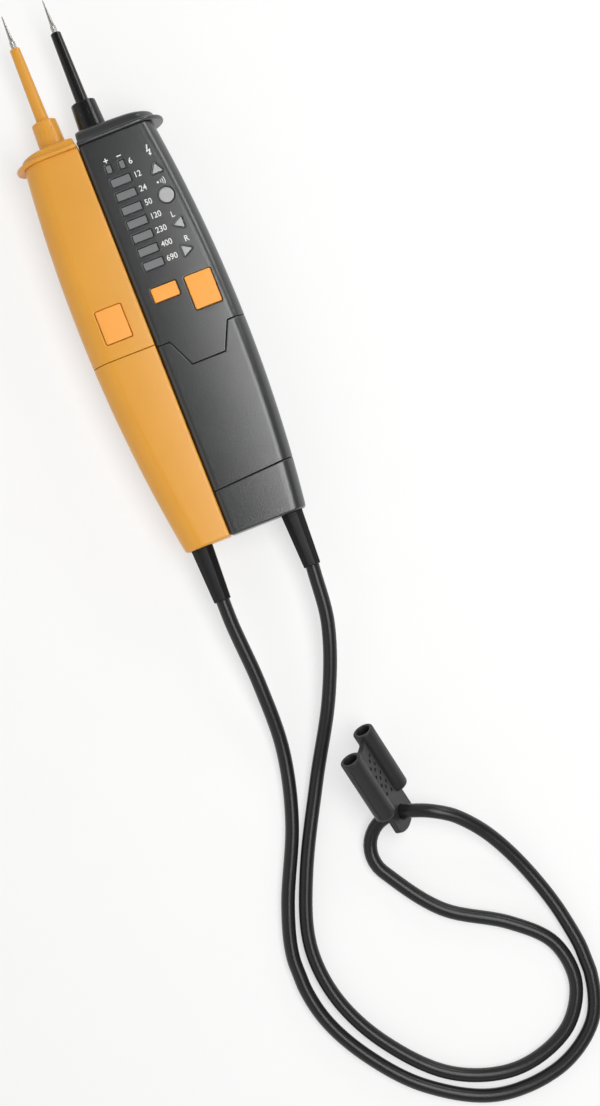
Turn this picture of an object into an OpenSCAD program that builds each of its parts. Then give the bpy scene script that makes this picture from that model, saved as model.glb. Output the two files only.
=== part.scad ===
// Two-pole voltage tester: a main handle with a display, a second handle clipped beside it,
// and one test lead that joins the two and carries a double cap for the probes.
// It lies on its back: +Z out of the display, +Y towards the probe points, +X to the main handle's outer side.

/* [Tester] */
// Length of a probe with its guard, from the handle to the point
probe_len = 77; // [72:1:84]
// Gap between the two handles when they are clipped together
pair_gap = 0.4; // [0.4:0.05:0.7]

/* [Housings] */
// Depth of the housings
body_depth = 33.4; // [33:0.1:34]
// Radius of the outer sides' long bulge, seen from the front
bulge_r = 760; // [720:10:900]
// Wall of every housing piece
wall = 2; // [1.8:0.1:2.2]
// Gap at the seams between housing pieces
seam_gap = 0.3; // [0.2:0.05:0.4]
// Radius of the edges round the lower ends
end_r = 2; // [1:0.5:2.5]
// Radius of the long edges beside the other handle
lip_r = 0.9; // [0.5:0.1:1.2]

/* [Main handle] */
// Distance of its widest place from the lower end
main_wide_y = 98; // [90:1:106]
// Width that the rounded outer edges take of the front
main_corner_w = 6.5; // [5:0.5:7]
// Depth that the rounded outer edges take of the side
main_corner_d = 9; // [7:0.5:11]
// Length of the end cap
cap_len = 24; // [23:0.5:25]
// Rise of the end cap's seam from its middle to either side
cap_rise = 1.4; // [0:0.2:1.6]
// Length of the battery cover, from the end cap's seam to the cross seam
cover_len = 74.6; // [73:0.1:77]
// Depth of the notch in the cross seam
notch_depth = 14; // [10:0.5:14]
// Width of the notch at the cross seam
notch_top_w = 30; // [26:0.5:30]
// Width of the notch at its bottom
notch_low_w = 17.2; // [14:0.2:18]
// Distance of the notch's middle from the inner side
notch_x = 21.8; // [21:0.1:22.5]

/* [Second handle] */
// Distance of its widest place from the lower end
second_wide_y = 120; // [112:1:126]
// Width that its rounded outer edges take of the front
second_corner_w = 10; // [8:0.5:10.5]
// Depth that its rounded outer edges take of the side
second_corner_d = 10; // [8:0.5:11]
// Rise of its cross seam over the main handle's
second_seam_up = 1.4; // [0:0.1:2]

/* [Display] */
// Width of a voltage level window
bar_w = 10.2; // [9:0.1:10.6]
// Length of a voltage level window, along the handle
bar_l = 4.3; // [3.5:0.1:4.6]
// Distance from one level window to the next
bar_pitch = 7.25; // [6.8:0.05:7.4]
// Number of level windows
bar_count = 7; // [5:1:7]
// Distance of the level windows' middles from the inner side
bar_x = 13.5; // [13.2:0.1:14]
// Distance of the lowest level window from the cross seam
keys_len = 37.9; // [37:0.1:39]
// Distance from the polarity windows to the finger guard
nose_len = 15.75; // [15:0.25:18]
// Width of a polarity window
pole_w = 3; // [2.4:0.1:3.4]
// Distance between the two polarity windows
pole_step = 6.8; // [6:0.1:7]
// Distance of the signal windows' middles from the outer side
signal_out = 14; // [13.6:0.1:14.4]
// Diameter of the round continuity window
lamp_d = 7.4; // [6:0.1:8]
// Place of the round window, as a share of the way from the lowest level window to the polarity windows
lamp_share = 0.573; // [0.55:0.001:0.6]
// Side of a triangular window
arrow_side = 5.6; // [4.6:0.1:6]
// Place of the live warning window on the same way
live_share = 0.837; // [0.82:0.001:0.85]
// Place of the left rotation window on the same way
left_share = 0.278; // [0.26:0.001:0.3]
// Place of the right rotation window on the same way
right_share = 0.014; // [0:0.001:0.03]
// Sideways step between the two rotation windows
turn_step = 2; // [0:0.1:2.2]

/* [Buttons] */
// Width of the small button
small_w = 13.1; // [11:0.1:13.4]
// Length of the small button
small_l = 7.2; // [6:0.1:8]
// Distance of the small button from the inner side
small_in = 7.2; // [7:0.1:8]
// Distance of the small button's middle from the cross seam
small_up = 23.3; // [22.5:0.1:24]
// Width of the large button
large_w = 13.4; // [12:0.1:13.6]
// Length of the large button
large_l = 17; // [15:0.1:17.2]
// Width of the face between the small and the large button
keys_between = 4.4; // [4:0.1:6]
// Distance of the large button from the outer side
large_out = 7.5; // [7.3:0.1:8.5]
// Distance of the large button's middle from the cross seam
large_up = 18; // [17.8:0.1:19]
// Height of the large button over the face
large_proud = 1.4; // [0.8:0.1:1.5]
// Width of the second handle's test button
test_w = 13.3; // [12:0.1:13.6]
// Length of the test button
test_l = 16.9; // [15:0.1:17]
// Distance of the test button from the inner side
test_in = 8.35; // [8:0.05:9]
// Distance of the test button from the outer side
test_out = 11.35; // [11:0.05:12]
// Distance of the test button's middle from the second handle's cross seam
test_up = 16.4; // [16.2:0.1:18]
// Height of the small and test buttons over the face
small_proud = 0.7; // [0.3:0.1:1.2]
// Travel of every button
key_travel = 1; // [0.6:0.1:1.2]
// Gap round a button in its opening
key_gap = 0.3; // [0.25:0.05:0.4]

/* [Finger guards] */
// Thickness of a guard's rim
guard_t = 2.2; // [1.8:0.1:2.8]
// Height of the guards over the front and the back of the handles
guard_rise = 0.8; // [0.5:0.1:1.2]
// Distance of the main guard's end from the main handle's outer side
main_guard_in = 1.8; // [0.8:0.1:2.4]
// Distance of the second guard's end from the second handle's outer side
second_guard_in = 0.2; // [0:0.1:1]
// Width of a guard's oval outer end
guard_oval = 13; // [10:0.5:15]
// Rounding of a guard's rim
guard_round = 0.8; // [0.4:0.1:0.9]
// Height of the main guard's raised collar
main_collar = 5.6; // [4:0.2:6.5]
// Height of the second guard's raised collar
second_collar = 4.2; // [3:0.2:5]

/* [Probes] */
// Distance of the main probe's axis from the inner side
main_probe_x = 9.8; // [9.4:0.1:10.6]
// Distance of the second probe's axis from the inner side
second_probe_x = 11.4; // [11:0.1:12]
// Diameter of a probe socket
socket_d = 12.8; // [12:0.1:14]
// Length of the main socket, from the handle
main_socket_len = 22.8; // [20:0.1:25]
// Length of the second socket, from the handle
second_socket_len = 20.7; // [18:0.1:24]
// Diameter of an insulating sleeve at its root
sleeve_root_d = 6.6; // [6:0.1:7]
// Diameter of an insulating sleeve at its end
sleeve_end_d = 5.2; // [4.8:0.1:5.8]
// Bare length of a contact tip
tip_out = 17.3; // [15:0.1:19]
// Diameter of a tip's seat for a push-on adapter
tip_seat_d = 3; // [2.8:0.1:3.4]
// Length of that seat
tip_seat_len = 3.8; // [3:0.1:5]
// Diameter of a tip's needle where it leaves the seat
needle_d = 2.3; // [2:0.1:2.6]

/* [Test lead] */
// Diameter of the lead
lead_d = 7; // [6:0.1:7.4]
// Length of a strain relief outside its handle
relief_out = 28; // [24:1:32]
// Width of a strain relief at the handle
relief_root_d = 11.8; // [11:0.1:12.6]
// Width of a strain relief at the lead
relief_end_d = 9.2; // [8.4:0.1:10]
// Distance of the main strain relief from the outer side at its widest
main_relief_out = 14; // [13.6:0.1:14.4]
// Distance of the second strain relief from the outer side at its widest
second_relief_out = 17.5; // [17.3:0.1:18]

/* [Tip cap] */
// Outer diameter of the cap's two tubes
cap_tube_d = 10.8; // [10:0.1:11.6]
// Bore of the cap's tubes
cap_bore_d = 7.2; // [7:0.1:7.6]
// Length of the cap's tubes
cap_tube_len = 38; // [34:0.5:42]
// Depth of the bores
cap_bore_len = 34; // [30:0.5:36]
// Thickness of the web between the tubes
cap_web_t = 3; // [2.4:0.1:3.6]
// Distance from the hole for the lead to the tubes
cap_hole_gap = 7.4; // [6.6:0.1:8]
// Distance from the hole for the lead to the tab's end
cap_tab_out = 8.4; // [7.4:0.1:9]
// Radius of the tab's rounded end
cap_tab_r = 16; // [14:0.5:20]
// Play between the lead and its hole
cap_hole_play = 0.7; // [0.6:0.05:0.9]

/* [Hidden] */
$fn = 48;
overrun = 1;
touch = 0.05;

// lengths along the handles, from their lower ends
seam_y = cap_len + cover_len;
second_seam_y = seam_y + second_seam_up;
bar_y = seam_y + keys_len;
display_len = bar_count * bar_pitch;
pole_y = bar_y + display_len;
handle_len = pole_y + nose_len;
tester_len = handle_len + probe_len;
main_socket_y = handle_len + main_socket_len;
second_socket_y = handle_len + second_socket_len;
lamp_y = bar_y + lamp_share * display_len;
live_y = bar_y + live_share * display_len;
left_y = bar_y + left_share * display_len;
right_y = bar_y + right_share * display_len;
small_y = seam_y + small_up;
large_y = seam_y + large_up;
test_y = second_seam_y + test_up;

// lengths across them, from their inner sides, and depths from the back
main_w = small_in + small_w + keys_between + large_w + large_out;
second_w = test_in + test_w + test_out;
small_x = small_in + small_w / 2;
large_x = main_w - large_out - large_w / 2;
test_x = test_in + test_w / 2;
signal_x = main_w - signal_out;
main_relief_x = main_w - main_relief_out;
second_relief_x = second_w - second_relief_out;
main_guard_w = main_w - main_guard_in;
second_guard_w = second_w - second_guard_in;
tester_depth = body_depth + 2 * guard_rise;

// places of the two handles
pair_w = main_w + second_w + pair_gap;
seam_x = second_w + pair_gap / 2 - pair_w / 2;
end_y = (relief_out - tester_len) / 2;
split_z = body_depth / 2;
axis_z = tester_depth / 2;
sector_fn = 256;
sector_share = 1.5;
corner_steps = 7;
inner_top = body_depth - wall;

// screws, bosses and posts
screw_r = 1.25;
screw_head_r = 2.4;
screw_head_h = 1.7;
screw_sink = 0.4;
screw_bite = 8;
slot_w = 0.6;
slot_share = 1.2;
boss_r = 3;
post_r = 1.8;
screw_in = 6.5;
main_screw_out = 8.2;
second_screw_out = 11.6;
top_screw_out = 14.6;
main_probe_clear = 7.2;
second_probe_clear = 6.8;
screw_top = handle_len - 6;
screw_up = 3.5;
main_screws_at = [[main_probe_x + main_probe_clear, screw_top], [main_w - top_screw_out, screw_top],
    [screw_in, seam_y + screw_up], [main_w - main_screw_out, seam_y + screw_up]];
second_screws_at = [[second_probe_x - second_probe_clear, screw_top], [second_w - top_screw_out, screw_top],
    [screw_in, second_seam_y + screw_up], [second_w - second_screw_out, second_seam_y + screw_up]];
cover_screw_share = 0.43;
cover_screw_at = [[main_w - main_screw_out, cap_len + cover_screw_share * cover_len]];

// keys
skirt_lip = 1;
skirt_t = 1.4;
key_rest = 0.3;
skirt_top = inner_top - key_rest;
skirt_low = skirt_top - skirt_t;
dome_gap = 0.2;
dome_wall = 0.8;
dome_share = 0.62;

// circuit boards
board_t = 1.6;
board_drop = 7.8;
board_low = inner_top - board_drop - board_t;
board_top = board_low + board_t;
board_inset = 2;
board_x0 = wall + board_inset;
main_board_in = 8.6;
main_board_up = 10.4;
main_board_down = 13;
main_board_x1 = main_w - main_board_in;
main_board_y0 = seam_y + main_board_up;
main_board_y1 = handle_len - main_board_down;
second_board_in = 7;
second_board_up = 9;
second_board_len = 41;
second_board_x1 = second_w - second_board_in;
second_board_y0 = second_seam_y + second_board_up;
second_board_y1 = second_board_y0 + second_board_len;
chip_h = 1.2;
led_size = 1.8;
led_h = 1.2;

// display windows
window_sink = 0.25;
window_fit = 0.08;
guide_t = 1.5;
guide_edge = 0.9;
guide_play = 0.3;

// battery bay: two AAA cells
cell_r = 5.25;
cell_len = 44.5;
cell_gap = 0.8;
tray_wall = 1.2;
tray_x = 4.4;
tray_up = 6;
tray_y = cap_len + tray_up;
tray_floor = 9;
tray_top = 18;
spring_len = 3.2;
plate_t = 0.5;

// clip pegs
peg_r = 2.5;
peg_play = 0.3;
peg_grip = 1.2;
peg_flange = 1.5;
peg_up = 36;
peg_down = 43;
peg_ys = [cap_len + peg_up, handle_len - peg_down];

// leads inside the handles
wire_r = 0.8;
wire_hole_r = 1.3;
wire_bend_r = 1.6;
socket_wall_in = 12;
sleeve_play = 0.05;
tip_tail_r = 1;
tip_tail_len = 20;
point_r = 0.2;
relief_neck_r = 4.4;
relief_flange_r = 5.4;
relief_flange_t = 2.4;

// the cap lies propped on the lead: the hole's middle, and the cap's turns about X, Y and Z
cap_hole = [21, -130, 10.9];
cap_turn = [38.3, 48.6, 41.3];
cap_step = main_probe_x + second_probe_x + pair_gap;

// the lead's route from the second handle's strain relief to the main handle's,
// with y from the reliefs' outer ends
lead_sides = 10;
lead_step = 19;
second_exit = [seam_x - pair_gap / 2 - second_relief_x, 0, axis_z];
main_exit = [seam_x + pair_gap / 2 + main_relief_x, 0, axis_z];
second_lean = [0, -13, -0.5];
main_lean = [-3.5, -30, -1.3];
lead_lay = [
    [-20.5, -46, 12], [-22, -81, 5.5], [-31, -116, 3.5], [-48.5, -155, 3.5],
    [-55.5, -182, 3.5], [-52.5, -211, 3.5], [-39, -238, 3.5], [-17, -263, 3.5],
    [14, -280, 3.5], [48, -279, 3.5], [72, -263.5, 3.5], [80.5, -239, 3.5],
    [78, -210, 3.5], [70, -182, 4.8], [59, -158, 9.5], [47, -142.3, 14.4],
    [36.5, -134.8, 16.2], [26.5, -130.9, 13.9], [17.2, -129.7, 9.1], [8.6, -132, 6],
    [2.4, -138.2, 4.3], [0, -146.6, 3.6], [2.2, -155.3, 3.5], [22.8, -183.5, 3.5],
    [52, -202.5, 3.5], [69, -220, 3.5], [71.5, -243, 3.5], [57.5, -263, 3.5],
    [28, -271.5, 3.5], [-3, -261.5, 3.5], [-28, -235.5, 3.5], [-42.5, -206, 3.5],
    [-45, -176, 3.5], [-34, -143, 3.5], [-12, -101, 4.5], [9, -64, 11]];
lead_route = concat([second_exit, second_exit + second_lean], lead_lay, [main_exit + main_lean, main_exit]);

// points of an elliptic arc about c with half axes rx and ry
function arc(c, rx, ry, a0, a1, n) =
    [for (i = [0:n]) let (a = a0 + (a1 - a0) * i / n) [c[0] + rx * cos(a), c[1] + ry * sin(a)]];

// outer side of a handle at a distance y from its lower end
function edge_x(w, wide_y, y) = w - bulge_r + sqrt(bulge_r * bulge_r - (y - wide_y) * (y - wide_y));

// half of a handle's cross section, set in from its skin, as it is swept round the far axis of the bulge
function section(w, cw, cd, inset) = concat(
    [[bulge_r - sector_share * w, inset]],
    arc([bulge_r - cw, cd], cw - inset, cd - inset, -90, 0, corner_steps),
    arc([bulge_r - cw, body_depth - cd], cw - inset, cd - inset, 0, 90, corner_steps),
    [[bulge_r - sector_share * w, body_depth - inset]]);

// a handle seen from the front, with its outer lower corner rounded
function plan(w, wide_y) = let (r = end_r, xe = edge_x(w, wide_y, r)) concat(
    [[0, 0]],
    arc([xe - r, r], r, r, -90, -10, corner_steps),
    [[w + overrun, handle_len / 4], [w + overrun, handle_len], [0, handle_len]]);

// a handle seen from the side, with both edges of its lower end rounded
function side() = let (r = end_r) concat(
    arc([r, r], r, r, 180, 270, corner_steps),
    [[handle_len, 0], [handle_len, body_depth]],
    arc([r, body_depth - r], r, r, 90, 180, corner_steps));

// the solid inside a handle's skin, in the handle's own frame:
// x from its inner side, y from its lower end, z from its back
module handle_block(w, wide_y, cw, cd, inset) {
    sweep = 2 * asin(handle_len / (bulge_r - sector_share * w));
    intersection() {
        translate([w - bulge_r, wide_y, 0]) rotate([0, 0, -sweep / 2])
            rotate_extrude(angle = sweep, $fn = sector_fn) polygon(section(w, cw, cd, inset));
        if (inset > 0) translate([inset, inset, 0])
            cube([w, handle_len - 2 * inset, body_depth]);
        else intersection() {
            linear_extrude(body_depth) polygon(plan(w, wide_y));
            translate([-overrun, 0, 0]) rotate([90, 0, 90])
                linear_extrude(w + 2 * overrun) polygon(side());
        }
    }
}

module main_block(inset) { handle_block(main_w, main_wide_y, main_corner_w, main_corner_d, inset); }
module second_block(inset) {
    handle_block(second_w, second_wide_y, second_corner_w, second_corner_d, inset);
}

// takes the sharp edge off the two long edges beside the other handle
module lip_cutter() {
    for (z = [0, 1]) translate([0, -overrun, z * body_depth]) mirror([0, 0, z])
        difference() {
            translate([-overrun, 0, -overrun])
                cube([lip_r + overrun, handle_len + 2 * overrun, lip_r + overrun]);
            round_y(-overrun, handle_len + 3 * overrun, lip_r, lip_r, lip_r);
        }
}

// puts a piece of a handle in its place beside the seam
module on_main() { translate([seam_x + pair_gap / 2, end_y, 0]) children(); }
module on_second() { translate([seam_x - pair_gap / 2, end_y, 0]) mirror([1, 0, 0]) children(); }

// puts a piece of the lead in its place past the strain reliefs
module on_lead() { translate([0, end_y - relief_out, 0]) children(); }

module round_y(y0, y1, r, x, z) { translate([x, y0, z]) rotate([-90, 0, 0]) cylinder(h = y1 - y0, r = r); }
module round_x(x0, x1, r, y, z) { translate([x0, y, z]) rotate([0, 90, 0]) cylinder(h = x1 - x0, r = r); }

// the front or the rear of a handle from y0 up
module front_space(w, y0) {
    translate([-overrun, y0, split_z + seam_gap / 2])
        cube([w + 2 * overrun, handle_len - y0 + overrun, body_depth]);
}
module rear_space(w, y0) {
    translate([-overrun, y0, -overrun])
        cube([w + 2 * overrun, handle_len - y0 + overrun, split_z + overrun - seam_gap / 2]);
}

// bosses that take the screws, above and below the split
module front_bosses(at) {
    for (p = at) translate([p[0], p[1], split_z + seam_gap / 2])
        cylinder(h = inner_top - split_z - seam_gap / 2 + touch, r = boss_r);
}
module rear_bosses(at) {
    for (p = at) translate([p[0], p[1], wall - touch])
        cylinder(h = split_z - seam_gap / 2 - wall + touch, r = boss_r);
}
module front_pilots(at) {
    for (p = at) translate([p[0], p[1], split_z - overrun])
        cylinder(h = screw_bite + 2 * overrun, r = screw_r + touch);
}
module rear_pilots(at) {
    for (p = at) translate([p[0], p[1], -overrun]) {
        cylinder(h = split_z + 2 * overrun, r = screw_r + 2 * touch);
        cylinder(h = overrun + screw_sink + screw_head_h, r = screw_head_r + 2 * touch);
    }
}
// pan head screws with a cross recess, driven from the back
module screws(at) {
    for (p = at) translate([p[0], p[1], screw_sink]) difference() {
        union() {
            cylinder(h = screw_head_h, r = screw_head_r);
            cylinder(h = split_z + screw_bite - screw_sink, r = screw_r);
        }
        for (a = [0, 90]) rotate([0, 0, a])
            translate([-screw_head_r * slot_share / 2, -slot_w / 2, -overrun])
                cube([screw_head_r * slot_share, slot_w, overrun + screw_head_h / 2]);
    }
}
module board_posts(x0, x1, y0, y1) {
    for (x = [x0 + post_r + 2 * touch, x1 - post_r - 2 * touch], y = [y0 + boss_r, y1 - boss_r])
        translate([x, y, wall - touch]) cylinder(h = board_low - wall + touch, r = post_r);
}
module peg_holes(ys) {
    for (y = ys) round_x(-overrun, wall + overrun, peg_r + peg_play, y, split_z);
}

// the cross seam's outline, moved down and widened for the piece below it
function seam_line(down, wider) = [
    [-overrun, seam_y - down], [notch_x - notch_top_w / 2 - wider, seam_y - down],
    [notch_x - notch_low_w / 2 - wider, seam_y - notch_depth - down],
    [notch_x + notch_low_w / 2 + wider, seam_y - notch_depth - down],
    [notch_x + notch_top_w / 2 + wider, seam_y - down], [main_w + overrun, seam_y - down]];
// the end cap's seam, which climbs towards the outer side
function cap_line(up) = [[main_w + overrun, cap_len + cap_rise + up], [-overrun, cap_len - cap_rise + up]];

upper_corners = [[main_w + overrun, handle_len + overrun], [-overrun, handle_len + overrun]];

module bar_shapes(grow) {
    for (i = [0:bar_count - 1]) translate([bar_x, bar_y + i * bar_pitch])
        square([bar_w + 2 * grow, bar_l + 2 * grow], center = true);
    for (s = [-1, 1]) translate([bar_x + s * pole_step / 2, pole_y])
        square([pole_w + 2 * grow, bar_l + 2 * grow], center = true);
}
module arrow(grow, turn) { rotate([0, 0, turn]) circle(r = arrow_side / sqrt(3) + 2 * grow, $fn = 3); }
module signal_shapes(grow) {
    translate([signal_x, lamp_y]) circle(d = lamp_d + 2 * grow);
    translate([signal_x, live_y]) arrow(grow, 90);
    translate([signal_x + turn_step / 2, left_y]) arrow(grow, 180);
    translate([signal_x - turn_step / 2, right_y]) arrow(grow, 0);
}
module key_opening(w, l, x, y) {
    translate([x - w / 2 - key_gap, y - l / 2 - key_gap, inner_top - overrun])
        cube([w + 2 * key_gap, l + 2 * key_gap, wall + 2 * overrun]);
}
// a key with a skirt that holds it under the face
module key_body(w, l, x, y, proud) {
    translate([x, y, 0]) {
        translate([-w / 2 - skirt_lip, -l / 2 - skirt_lip, skirt_low])
            cube([w + 2 * skirt_lip, l + 2 * skirt_lip, skirt_t]);
        translate([-w / 2, -l / 2, skirt_low]) cube([w, l, body_depth + proud - skirt_low]);
    }
}
// a rubber dome that pushes a key back and closes the contact under it
module key_dome(r, x, y) {
    h = skirt_low - dome_gap - board_top;
    translate([x, y, board_top]) difference() {
        cylinder(h = h, r1 = r, r2 = r * dome_share);
        translate([0, 0, -touch])
            cylinder(h = h - dome_wall, r1 = r - dome_wall, r2 = r * dome_share - dome_wall);
    }
}

module main_front_housing() {
    color([0.2, 0.2, 0.21]) on_main() difference() {
        union() {
            intersection() {
                difference() { main_block(0); main_block(wall); }
                translate([0, 0, split_z + seam_gap / 2]) linear_extrude(body_depth)
                    polygon(concat(seam_line(0, 0), upper_corners));
            }
            intersection() { main_block(0); front_bosses(main_screws_at); }
        }
        lip_cutter();
        front_pilots(main_screws_at);
        peg_holes([peg_ys[1]]);
        round_y(handle_len - wall - overrun, handle_len + overrun, wire_hole_r, main_probe_x, axis_z);
        translate([0, 0, inner_top - overrun]) linear_extrude(wall + 2 * overrun) {
            bar_shapes(window_fit);
            signal_shapes(window_fit);
        }
        key_opening(small_w, small_l, small_x, small_y);
        key_opening(large_w, large_l, large_x, large_y);
    }
}

module battery_cover() {
    color([0.2, 0.2, 0.21]) on_main() difference() {
        union() {
            intersection() {
                difference() { main_block(0); main_block(wall); }
                translate([0, 0, split_z + seam_gap / 2]) linear_extrude(body_depth)
                    polygon(concat(seam_line(seam_gap, seam_gap / 2), cap_line(seam_gap)));
            }
            intersection() { main_block(0); front_bosses(cover_screw_at); }
        }
        lip_cutter();
        peg_holes([peg_ys[0]]);
        for (p = cover_screw_at) translate([p[0], p[1], split_z])
            cylinder(h = screw_bite + overrun, r = screw_r + key_gap);
    }
}

module main_end_cap() {
    color([0.2, 0.2, 0.21]) on_main() difference() {
        intersection() {
            difference() { main_block(0); main_block(wall); }
            translate([0, 0, -overrun]) linear_extrude(body_depth + 2 * overrun)
                polygon(concat([[-overrun, -overrun], [main_w + overrun, -overrun]], cap_line(0)));
        }
        lip_cutter();
        round_y(-overrun, wall + overrun, relief_neck_r + touch, main_relief_x, axis_z);
    }
}

module main_rear_housing() {
    color([0.18, 0.18, 0.19]) on_main() difference() {
        union() {
            intersection() {
                difference() { main_block(0); main_block(wall); }
                translate([0, 0, -overrun]) linear_extrude(split_z + overrun - seam_gap / 2)
                    polygon(concat([cap_line(seam_gap)[1], cap_line(seam_gap)[0]], upper_corners));
            }
            intersection() {
                main_block(0);
                rear_bosses(concat(main_screws_at, cover_screw_at));
            }
            board_posts(board_x0, main_board_x1, main_board_y0, main_board_y1);
        }
        lip_cutter();
        rear_pilots(concat(main_screws_at, cover_screw_at));
        peg_holes(peg_ys);
        round_y(handle_len - wall - overrun, handle_len + overrun, wire_hole_r, main_probe_x, axis_z);
    }
}

// outline of a guard seen along the probe: flat beside the other handle, oval outside
function guard_outline(w, inset) = concat(
    [[0, tester_depth - inset], [0, inset]],
    arc([w - guard_oval, axis_z], guard_oval - inset, axis_z - inset, -90, 90, 3 * corner_steps));
module guard_slice(w, inset, y, t) {
    translate([0, y + t, 0]) rotate([90, 0, 0]) linear_extrude(t) polygon(guard_outline(w, inset));
}
slice_t = 0.2;
collar_in = 2.6;
collar_top_in = 4.4;
collar_fall = 2.4;
// finger guard: a thin oval rim, a low collar on it and the socket that holds the probe's sleeve
module finger_guard(w, collar, probe_x, socket_y) {
    y0 = handle_len;
    y1 = y0 + guard_t;
    difference() {
        union() {
            hull() {
                guard_slice(w, guard_round, y0, slice_t);
                guard_slice(w, 0, y0 + guard_round, guard_t - 2 * guard_round);
                guard_slice(w, guard_round, y1 - slice_t, slice_t);
            }
            hull() {
                guard_slice(w - collar_in, collar_in, y1 - guard_t / 2, slice_t);
                guard_slice(w - collar_in, collar_in, y1 + collar - collar_fall - slice_t, slice_t);
                guard_slice(w - collar_in - collar_top_in, collar_top_in, y1 + collar - slice_t, slice_t);
            }
            translate([probe_x, y1, axis_z]) rotate([-90, 0, 0]) rotate_extrude()
                polygon([[0, 0], [socket_d / 2 + end_r / 4, 0], [socket_d / 2, socket_y - y1 - guard_round],
                    [socket_d / 2 - guard_round, socket_y - y1], [0, socket_y - y1]]);
        }
        round_y(socket_y - socket_wall_in, socket_y + overrun,
            sleeve_root_d / 2 + sleeve_play, probe_x, axis_z);
        round_y(y0 - overrun, socket_y, wire_hole_r, probe_x, axis_z);
    }
}
module main_finger_guard() {
    color([0.13, 0.13, 0.14]) on_main()
        finger_guard(main_guard_w, main_collar, main_probe_x, main_socket_y);
}
module second_finger_guard() {
    color([0.93, 0.62, 0.2]) on_second()
        finger_guard(second_guard_w, second_collar, second_probe_x, second_socket_y);
}

sleeve_y = tester_len - tip_out;
sleeve_round = 0.5;
// insulating sleeve, straight in its socket and tapered outside
module probe_sleeve(probe_x, socket_y) {
    y0 = socket_y - socket_wall_in;
    translate([probe_x, y0, axis_z]) rotate([-90, 0, 0]) rotate_extrude()
        polygon([[tip_tail_r + sleeve_play, 0], [sleeve_root_d / 2, 0], [sleeve_root_d / 2, socket_wall_in],
            [sleeve_end_d / 2, sleeve_y - y0 - sleeve_round], [sleeve_end_d / 2 - sleeve_round, sleeve_y - y0],
            [tip_tail_r + sleeve_play, sleeve_y - y0]]);
}
module main_probe_sleeve() {
    color([0.08, 0.08, 0.09]) on_main() probe_sleeve(main_probe_x, main_socket_y);
}
module second_probe_sleeve() {
    color([0.93, 0.62, 0.2]) on_second() probe_sleeve(second_probe_x, second_socket_y);
}

// contact tip: a tail in the sleeve, a seat for a push-on adapter and a tapered needle
module probe_tip(probe_x) {
    seat_r = tip_seat_d / 2;
    translate([probe_x, sleeve_y - tip_tail_len, axis_z]) rotate([-90, 0, 0]) rotate_extrude()
        polygon([[0, 0], [tip_tail_r, 0], [tip_tail_r, tip_tail_len], [seat_r, tip_tail_len],
            [seat_r, tip_tail_len + tip_seat_len],
            [needle_d / 2, tip_tail_len + tip_seat_len + seat_r - needle_d / 2],
            [point_r, tip_tail_len + tip_out - 2 * point_r], [0, tip_tail_len + tip_out]]);
}
module main_probe_tip() { color([0.75, 0.76, 0.78]) on_main() probe_tip(main_probe_x); }
module second_probe_tip() { color([0.75, 0.76, 0.78]) on_second() probe_tip(second_probe_x); }

guide_top = inner_top - guide_play;
// the windows themselves, standing on their light guide
module window_prisms() {
    z = guide_top - touch;
    translate([0, 0, z]) linear_extrude(body_depth - window_sink - z) children();
}
module level_windows() {
    color([0.42, 0.43, 0.44]) on_main() {
        window_prisms() bar_shapes(0);
        translate([bar_x - bar_w / 2 - guide_edge, bar_y - bar_l / 2 - guide_edge, guide_top - guide_t])
            cube([bar_w + 2 * guide_edge, pole_y - bar_y + bar_l + 2 * guide_edge, guide_t]);
    }
}
signal_plate_w = arrow_side + turn_step;
module signal_windows() {
    color([0.6, 0.61, 0.62]) on_main() {
        window_prisms() signal_shapes(0);
        translate([signal_x - signal_plate_w / 2, right_y - arrow_side / 2 - guide_edge, guide_top - guide_t])
            cube([signal_plate_w, live_y - right_y + arrow_side + 2 * guide_edge, guide_t]);
    }
}

module small_button() {
    color([1, 0.62, 0.2]) on_main() key_body(small_w, small_l, small_x, small_y, small_proud);
}
module large_button() {
    color([1, 0.62, 0.2]) on_main() key_body(large_w, large_l, large_x, large_y, large_proud);
}
module test_button() {
    color([1, 0.6, 0.2]) on_second() key_body(test_w, test_l, test_x, test_y, small_proud);
}
module small_key_dome() { color([0.5, 0.5, 0.5]) on_main() key_dome(small_l / 2, small_x, small_y); }
module large_key_dome() { color([0.5, 0.5, 0.5]) on_main() key_dome(large_w / 3, large_x, large_y); }
module test_key_dome() { color([0.5, 0.5, 0.5]) on_second() key_dome(test_w / 3, test_x, test_y); }

module board(x1, y0, y1) {
    difference() {
        translate([board_x0, y0, board_low]) cube([x1 - board_x0, y1 - y0, board_t]);
        for (x = [board_x0 + boss_r, x1 - boss_r]) translate([x, (y0 + y1) / 2, board_low - overrun])
            cylinder(h = board_t + 2 * overrun, r = wire_r);
    }
}
module main_circuit_board() {
    color([0.1, 0.4, 0.2]) on_main() board(main_board_x1, main_board_y0, main_board_y1);
}
module second_circuit_board() {
    color([0.1, 0.4, 0.2]) on_second() board(second_board_x1, second_board_y0, second_board_y1);
}

module led_at(x, y) {
    translate([x - led_size / 2, y - led_size / 2, board_top]) cube([led_size, led_size, led_h]);
}
module indicator_leds() {
    color([0.9, 0.9, 0.85]) on_main() {
        for (i = [0:bar_count - 1]) led_at(bar_x, bar_y + i * bar_pitch);
        for (s = [-1, 1]) led_at(bar_x + s * pole_step / 2, pole_y);
        for (y = [right_y, left_y, lamp_y, live_y]) led_at(signal_x, y);
    }
}

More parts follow.
